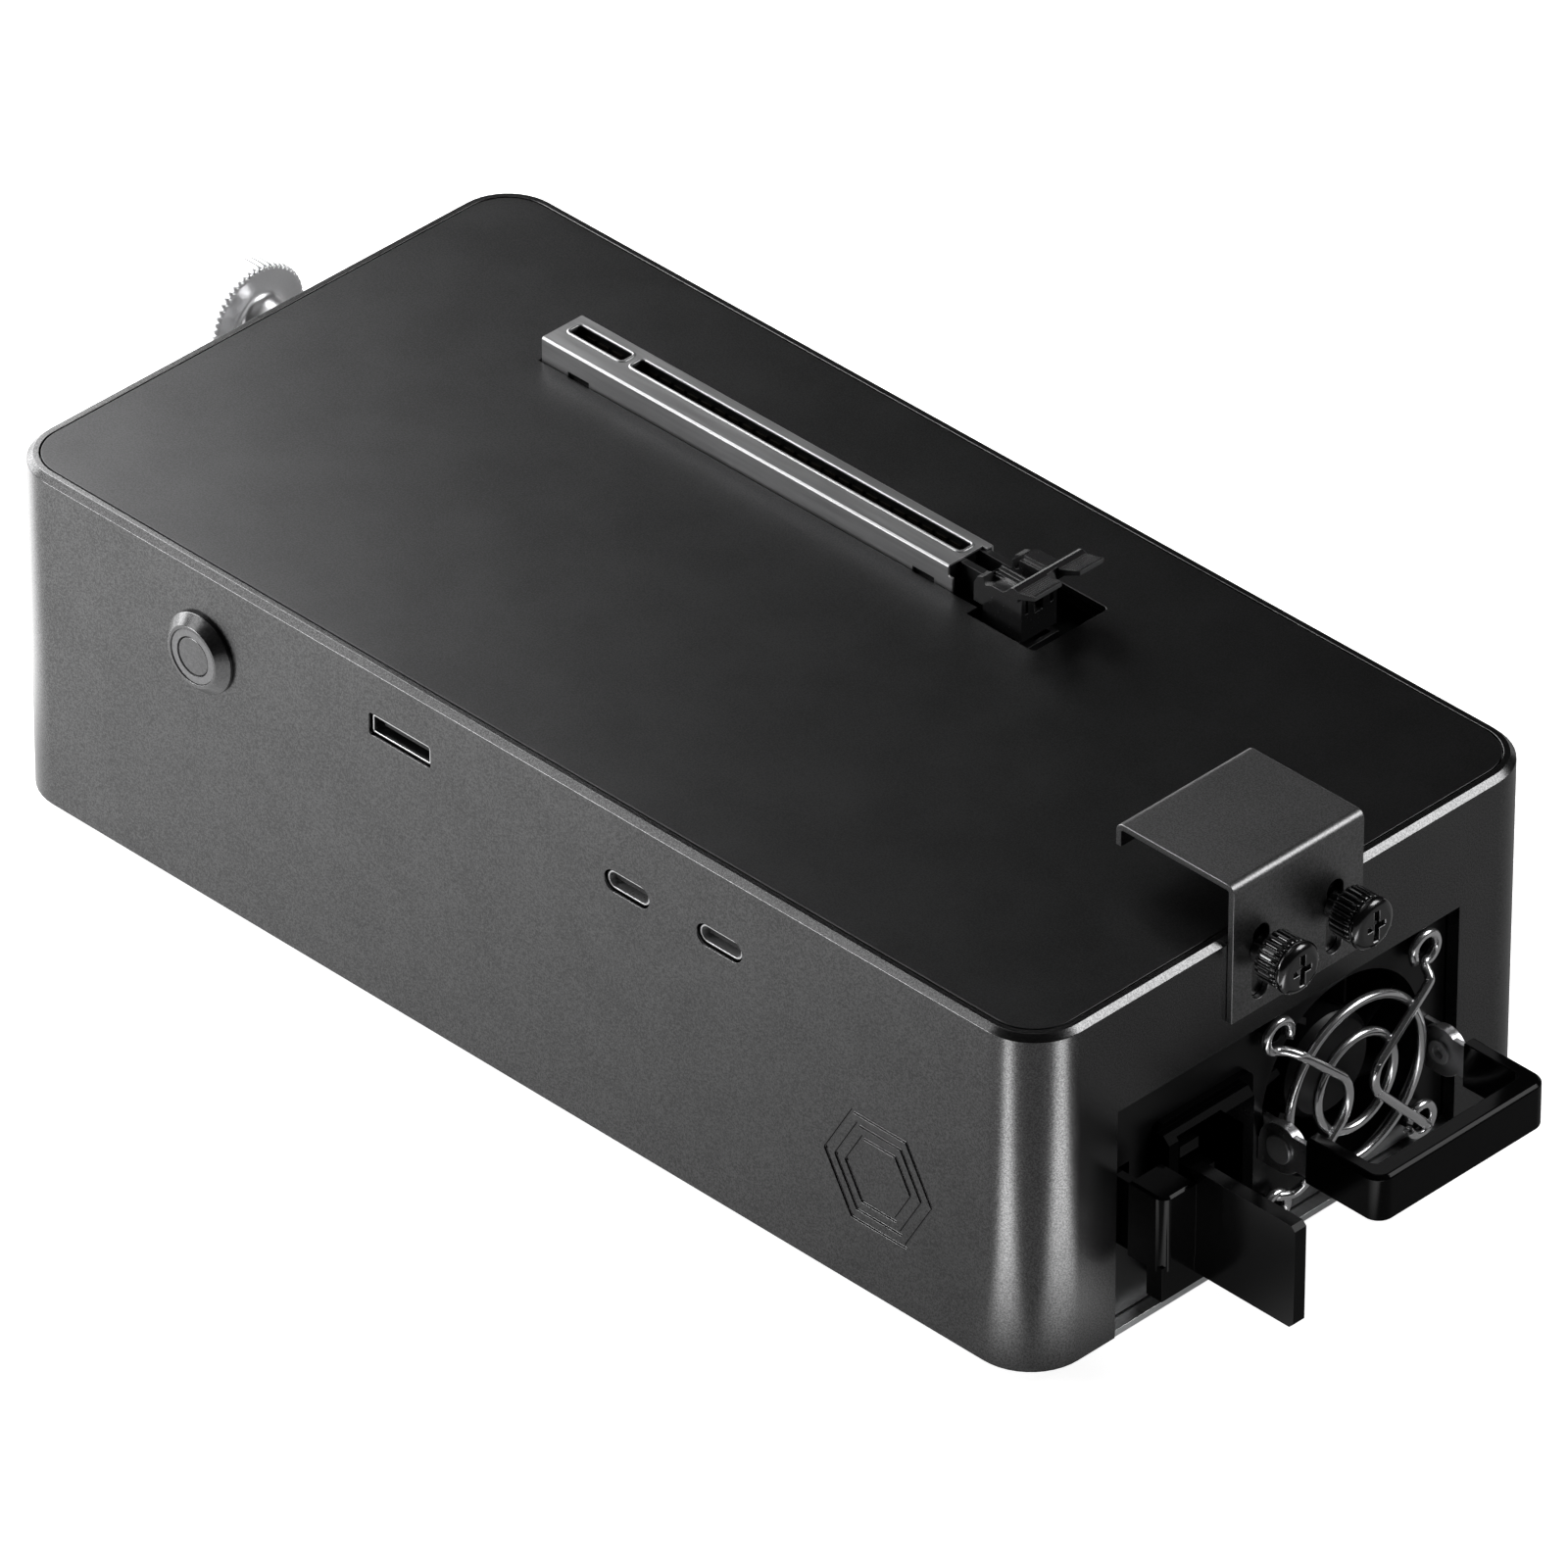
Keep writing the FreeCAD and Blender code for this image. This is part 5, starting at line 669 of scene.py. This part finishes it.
class ENCLOSURE_OT_rims(bpy.types.Operator):
    """Rolls the rims of the shield's two windows: a flattened wire along a rectangle with round corners"""

    bl_idname = "enclosure.rims"
    bl_label = "Window rims"

    def execute(self, context):
        wire = context.scene.enclosure_sizes.rim_wire / MILLIMETRE
        middle, half_width, top, corner = 27.4, 1.6, 68.2, 0.9
        flatness, corner_points, sides = 0.6, 7, 10
        near, far = middle - half_width + corner, middle + half_width - corner
        parts = []
        for start, end in ((-69.02, -56.68), (-55.32, 17.02)):
            left, right = start + corner, end - corner
            path = []
            for x, y, first in ((right, far, 0), (left, far, 90), (left, near, 180), (right, near, 270)):
                angle = np.radians(np.linspace(first, first + 90, corner_points))
                path.append(np.stack([x + corner * np.cos(angle), y + corner * np.sin(angle),
                                      np.full(corner_points, top)], -1))
            points, faces = tube_surface(np.vstack(path), wire, sides, True)
            points[:, 2] = top + (points[:, 2] - top) * flatness
            parts.append((points, faces))
        wear(merged("window_rims", parts), "card_slot_shield")
        return {"FINISHED"}


class ENCLOSURE_OT_finishes(bpy.types.Operator):
    """Gives every piece its own finish"""

    bl_idname = "enclosure.finishes"
    bl_label = "Finishes"

    def execute(self, context):
        look = context.scene.enclosure_finish
        self.dress_case(look)
        self.dress_front()
        self.dress_slot()
        self.dress_supply(look)
        self.dress_fasteners()
        self.dress_inside()
        return {"FINISHED"}

    def dress_case(self, look):
        """The blasted case and bracket, the black panel, the bottom plate and the feet."""
        tolerance, bracket_lift = 0.02, 1.9
        rough = (look.case_roughness - tolerance, look.case_roughness + tolerance)
        dress(grained("blasted_shell", look.case_colour, 0.3, rough, 6e-6,
                      size=FINE_GRAIN_SCALE, mottle=0.1, metallic=1.0), "main_case")
        rough = (look.panel_roughness - tolerance, look.panel_roughness + tolerance)
        dress(grained("black_panel", look.panel_colour, 0.2, rough, 3e-6,
                      size=FINE_GRAIN_SCALE, mottle=0.2, metallic=1.0), "top_panel")
        dress(grained("blasted_bracket", [channel * bracket_lift for channel in look.case_colour], 0.26,
                      (0.36, 0.42), 8e-6, size=FINE_GRAIN_SCALE, mottle=0.1, metallic=1.0),
              "support_bracket")
        dress(brushed("natural_plate", (0.7, 0.71, 0.72), 0.06, (0.3, 0.42), 4e-6, 0.05, metallic=1.0),
              "bottom_plate")
        dress(grained("foot_rubber", (0.012, 0.012, 0.012), 0.2, (0.6, 0.75), 2e-5), "rubber_feet")

    def dress_front(self):
        """The button and the ports in the long front."""
        dress(grained("button_metal", (0.15, 0.15, 0.152), 0.15, (0.22, 0.28), 3e-6, metallic=1.0),
              "button_bezel", "button_cap")
        dress(grained("ring_plastic", (0.2, 0.2, 0.205), 0.1, (0.2, 0.28), 2e-6, specular=0.8),
              "button_light_ring")
        dress(grained("port_steel", (0.75, 0.75, 0.76), 0.05, (0.26, 0.34), 2e-6, metallic=0.7),
              "front_port_shells")
        dress(grained("link_steel", (0.8, 0.8, 0.81), 0.05, (0.2, 0.26), 1e-6, metallic=1.0),
              "link_port_shell")

    def dress_slot(self):
        """The card slot's shield and contacts, and the card latch."""
        dress(brushed("shield_steel", (0.37, 0.37, 0.375), 0.06, (0.3, 0.38), 2e-6, 0.06, metallic=0.8),
              "card_slot_shield", "window_rims")
        dress(grained("shaded_contacts", (0.008, 0.0065, 0.004), 0.1, (0.4, 0.5), 1e-6, specular=0.2),
              "card_slot_contacts")
        dress(grained("ribbed_plastic", (0.012, 0.012, 0.0125), 0.1, (0.22, 0.28), 1e-7,
                      specular=1.0, coat=0.2), "card_latch")

    def dress_supply(self, look):
        """The power supply's case, guard, handle and inlet."""
        dress(grained("supply_coat", (0.004, 0.004, 0.0043), 0.15, (0.3, 0.38), 8e-6,
                      size=2200.0, specular=0.3), "psu_case")
        dress(grained("bright_wire", (0.8, 0.8, 0.81), 0.02, (0.2, 0.24), 1e-7, metallic=0.95),
              "fan_guard", "latch_pin")
        dress(grained("satin_steel", (0.5, 0.5, 0.51), 0.05, (0.26, 0.32), 1e-6, metallic=0.9),
              "handle_ears", "handle_lugs")
        dress(grained("rivet_steel", (0.34, 0.34, 0.345), 0.05, (0.3, 0.36), 1e-6, metallic=0.5),
              "handle_rivets")
        dress(grained("gloss_plastic", look.gloss_colour, 0.1, (0.1, 0.13), 1e-7, specular=0.1),
              "pull_handle", "release_latch")
        dress(grained("inlet_black", (0.001, 0.001, 0.0011), 0.1, (0.22, 0.3), 5e-7, specular=0.012),
              "inlet_housing")
        # Painted shade: the inlet's metal pins get a near-black colour for the dark recess they stand in.
        dress(grained("dull_blade", (0.02, 0.02, 0.02), 0.1, (0.4, 0.5), 2e-6, metallic=1.0),
              "inlet_pins")

    def dress_fasteners(self):
        """The end knob, the screws, their inserts and the nut."""
        dress(grained("knob_metal", (0.9, 0.9, 0.91), 0.02, (0.28, 0.32), 1e-7, metallic=0.85), "end_knob")
        dress(grained("black_nickel", (0.07, 0.07, 0.071), 0.05, (0.2, 0.24), 2e-7, metallic=1.0, coat=0.6),
              "thumb_screw_front", "thumb_screw_rear", "bottom_screws")
        dress(grained("shaded_insert", (0.01, 0.01, 0.01), 0.1, (0.4, 0.5), 2e-6, metallic=1.0),
              "screw_inserts", "knob_insert")
        dress(brushed("zinc_sheet", (0.5, 0.51, 0.52), 0.1, (0.3, 0.45), 4e-6, 0.1, metallic=1.0),
              "psu_bay", "board_screws", "psu_board_screws", "button_nut")

    def dress_inside(self):
        """The moulded parts, the boards and what stands on them."""
        dress(grained("moulded_plastic", (0.007, 0.007, 0.0075), 0.15, (0.3, 0.42), 5e-6, specular=0.35),
              "card_slot_body", "fan_frame", "fan_rotor", "power_socket", "board_link", "switch_body",
              "link_port_tongue", "front_port_tongues", "button_lead")
        dress(grained("board_mask", (0.012, 0.014, 0.013), 0.2, (0.25, 0.35), 3e-6),
              "main_board", "side_board", "psu_board", "backplane_board")
        dress(grained("gold_plate", (0.8, 0.6, 0.25), 0.05, (0.2, 0.3), 1e-6, metallic=1.0),
              "board_standoffs")
        dress(grained("bare_copper", (0.72, 0.4, 0.25), 0.08, (0.25, 0.4), 2e-6, metallic=1.0),
              "power_busbars")
        dress(grained("cast_fins", (0.3, 0.3, 0.32), 0.1, (0.35, 0.45), 4e-6, metallic=1.0),
              "psu_heatsinks", "psu_capacitors")
        dress(grained("wound_core", (0.2, 0.17, 0.1), 0.2, (0.4, 0.6), 8e-6), "psu_transformer")


def combine(tree, how, *values):
    """The sum, product or highest of several shader values."""
    total = values[0]
    for value in values[1:]:
        both = add(tree, "Math", operation=how)
        for socket, given in zip(both.inputs, (total, value)):
            if isinstance(given, (int, float)):
                socket.default_value = given
            else:
                tree.links.new(given, socket)
        total = both.outputs[0]
    return total


def painted_reflection_glow(tree, lamps):
    """How bright the table glows in reflections only: plain, with a painted reflection brighter on its
    front-left side, and brightest in its painted highlight strips; no lamp lights them.
    """
    place = add(tree, "TexCoord")
    split = add(tree, "SeparateXYZ")
    tree.links.new(place.outputs["Object"], split.inputs["Vector"])
    front = span(tree, split.outputs["Y"], FRONT_RISE, kind="SMOOTHSTEP")
    leftward = combine(tree, "ADD", span(tree, split.outputs["X"], LEFT_RISE), LEAST_LEFT_SHARE)
    parts = [combine(tree, "MULTIPLY", front, leftward, lamps.painted_side_glow)]
    for share, rises in PAINTED_HIGHLIGHT_STRIPS:
        steps = [span(tree, split.outputs[axis], (start, end), kind="SMOOTHSTEP")
                 for axis, start, end in rises]
        parts.append(combine(tree, "MULTIPLY", *steps, lamps.painted_strip_glow * share))
    return combine(tree, "ADD", *parts, lamps.table_glow)


def table_material(lamps):
    """A pale diffuse table that the camera sees white, and reflections see dimmer, but for a painted
    reflection glow on its front-left side and painted highlight strips.
    """
    material = bpy.data.materials.new("studio_table")
    material.use_nodes = True
    tree = material.node_tree
    tree.nodes.clear()
    link = tree.links.new
    out = tree.nodes.new("ShaderNodeOutputMaterial")
    diffuse = add(tree, "BsdfDiffuse")
    emission = add(tree, "Emission", Color=(1, 1, 1, 1))
    path = add(tree, "LightPath")
    paint = add(tree, "Mix", data_type="RGBA")
    paint.inputs["A"].default_value = (*TABLE_COLOUR, 1)
    paint.inputs["B"].default_value = (*(channel * REFLECTED_SHARE for channel in TABLE_COLOUR), 1)
    # Painted reflections: the table glows for glossy rays only, brighter on its front-left side and in its
    # painted highlight strips.
    reflected = combine(tree, "MULTIPLY", path.outputs["Is Glossy Ray"], painted_reflection_glow(tree, lamps))
    seen = combine(tree, "MULTIPLY", path.outputs["Is Camera Ray"], CAMERA_GLOW)
    strength = combine(tree, "ADD", reflected, seen, path.outputs["Is Transmission Ray"])
    both = add(tree, "AddShader")
    link(path.outputs["Is Glossy Ray"], paint.inputs["Factor"])
    link(paint.outputs["Result"], diffuse.inputs["Color"])
    link(strength, emission.inputs["Strength"])
    link(diffuse.outputs[0], both.inputs[0])
    link(emission.outputs[0], both.inputs[1])
    link(both.outputs[0], out.inputs["Surface"])
    return material


class ENCLOSURE_OT_stage(bpy.types.Operator):
    """Builds the floor, the surround, the lamps and the camera"""

    bl_idname = "enclosure.stage"
    bl_label = "Studio"

    def execute(self, context):
        scene = context.scene
        lamps = scene.enclosure_lamps
        reach = TABLE_REACH
        corners = [(-reach, -reach, 0), (reach, -reach, 0), (reach, reach, 0), (-reach, reach, 0)]
        floor = put("studio_floor", corners, [(0, 1, 2, 3)], smooth=False)
        floor.data.materials.append(table_material(lamps))
        self.surround(scene, lamps.world)
        for title, size, place, aim in LAMPS:
            self.soft_lamp(title + "_lamp", getattr(lamps, title + "_power"), size, place, aim)
        self.camera(scene)
        scene.view_settings.view_transform = "Standard"
        return {"FINISHED"}

    def surround(self, scene, strength):
        """A world that is white to the camera and dim to the object."""
        world = scene.world or bpy.data.worlds.new("studio")
        scene.world = world
        world.use_nodes = True
        tree = world.node_tree
        tree.nodes.clear()
        out = tree.nodes.new("ShaderNodeOutputWorld")
        backdrop = add(tree, "Background", Color=(1, 1, 1, 1))
        path = add(tree, "LightPath")
        seen = combine(tree, "MAXIMUM", path.outputs["Is Camera Ray"], path.outputs["Is Transmission Ray"])
        level = span(tree, seen, (0.0, 1.0), (strength, 1.0))
        tree.links.new(level, backdrop.inputs["Strength"])
        tree.links.new(backdrop.outputs[0], out.inputs["Surface"])

    def soft_lamp(self, name, power, size, place, aim):
        """A rectangular area lamp that looks at a point."""
        lamp = bpy.data.lights.new(name, "AREA")
        lamp.shape = "RECTANGLE"
        lamp.size, lamp.size_y = size
        lamp.energy = power
        holder = placed(name, lamp)
        holder.location = place
        holder.rotation_mode = "QUATERNION"
        holder.rotation_quaternion = (Vector(aim) - Vector(place)).to_track_quat("-Z", "Y")

    def camera(self, scene):
        """The camera on its turn, rise and roll round the aim point."""
        look = scene.enclosure_camera
        turn, rise, roll = (math.radians(value) for value in (look.azimuth, look.elevation, look.roll))
        back = Vector((math.sin(turn) * math.cos(rise), -math.cos(turn) * math.cos(rise), math.sin(rise)))
        level = Vector((math.cos(turn), math.sin(turn), 0))
        over = back.cross(level)
        right = level * math.cos(roll) + over * math.sin(roll)
        up = over * math.cos(roll) - level * math.sin(roll)
        aim = Vector((0, 0, look.aim_height)) + right * look.aim_side + up * look.aim_rise
        data = bpy.data.cameras.new("camera")
        data.sensor_width = SENSOR_WIDTH
        data.lens = look.lens
        data.clip_end = FARTHEST_SEEN
        camera = placed("camera", data)
        camera.rotation_mode = "QUATERNION"
        camera.rotation_quaternion = Matrix((right, up, back)).transposed().to_quaternion()
        camera.location = aim + back * look.distance
        scene.camera = camera


SETTINGS = {
    "enclosure_camera": CameraSettings,
    "enclosure_finish": FinishSettings,
    "enclosure_sizes": SizeSettings,
    "enclosure_lamps": LampSettings,
}
BUILDERS = (
    ENCLOSURE_OT_eased, ENCLOSURE_OT_guard, ENCLOSURE_OT_knob, ENCLOSURE_OT_screws, ENCLOSURE_OT_rims,
    ENCLOSURE_OT_finishes, ENCLOSURE_OT_stage,
)


class ENCLOSURE_PT_panel(bpy.types.Panel):
    """Lists the builders and their settings in the sidebar"""

    bl_idname = "ENCLOSURE_PT_panel"
    bl_label = "Enclosure"
    bl_space_type = "VIEW_3D"
    bl_region_type = "UI"
    bl_category = "Enclosure"

    def draw(self, context):
        for builder in BUILDERS:
            self.layout.operator(builder.bl_idname)
        for title in SETTINGS:
            settings = getattr(context.scene, title)
            for name in settings.__annotations__:
                self.layout.prop(settings, name)


CLASSES = (*SETTINGS.values(), *BUILDERS, ENCLOSURE_PT_panel)


def register():
    for made in CLASSES:
        bpy.utils.register_class(made)
    for title, kind in SETTINGS.items():
        setattr(bpy.types.Scene, title, bpy.props.PointerProperty(type=kind))


def unregister():
    for title in SETTINGS:
        delattr(bpy.types.Scene, title)
    for made in reversed(CLASSES):
        bpy.utils.unregister_class(made)


def main():
    """Registers the classes and runs every builder in order."""
    register()
    for builder in BUILDERS:
        group, name = builder.bl_idname.split(".")
        if getattr(getattr(bpy.ops, group), name)() != {"FINISHED"}:
            raise RuntimeError(builder.bl_label + " did not finish")


if __name__ == "__main__":
    main()
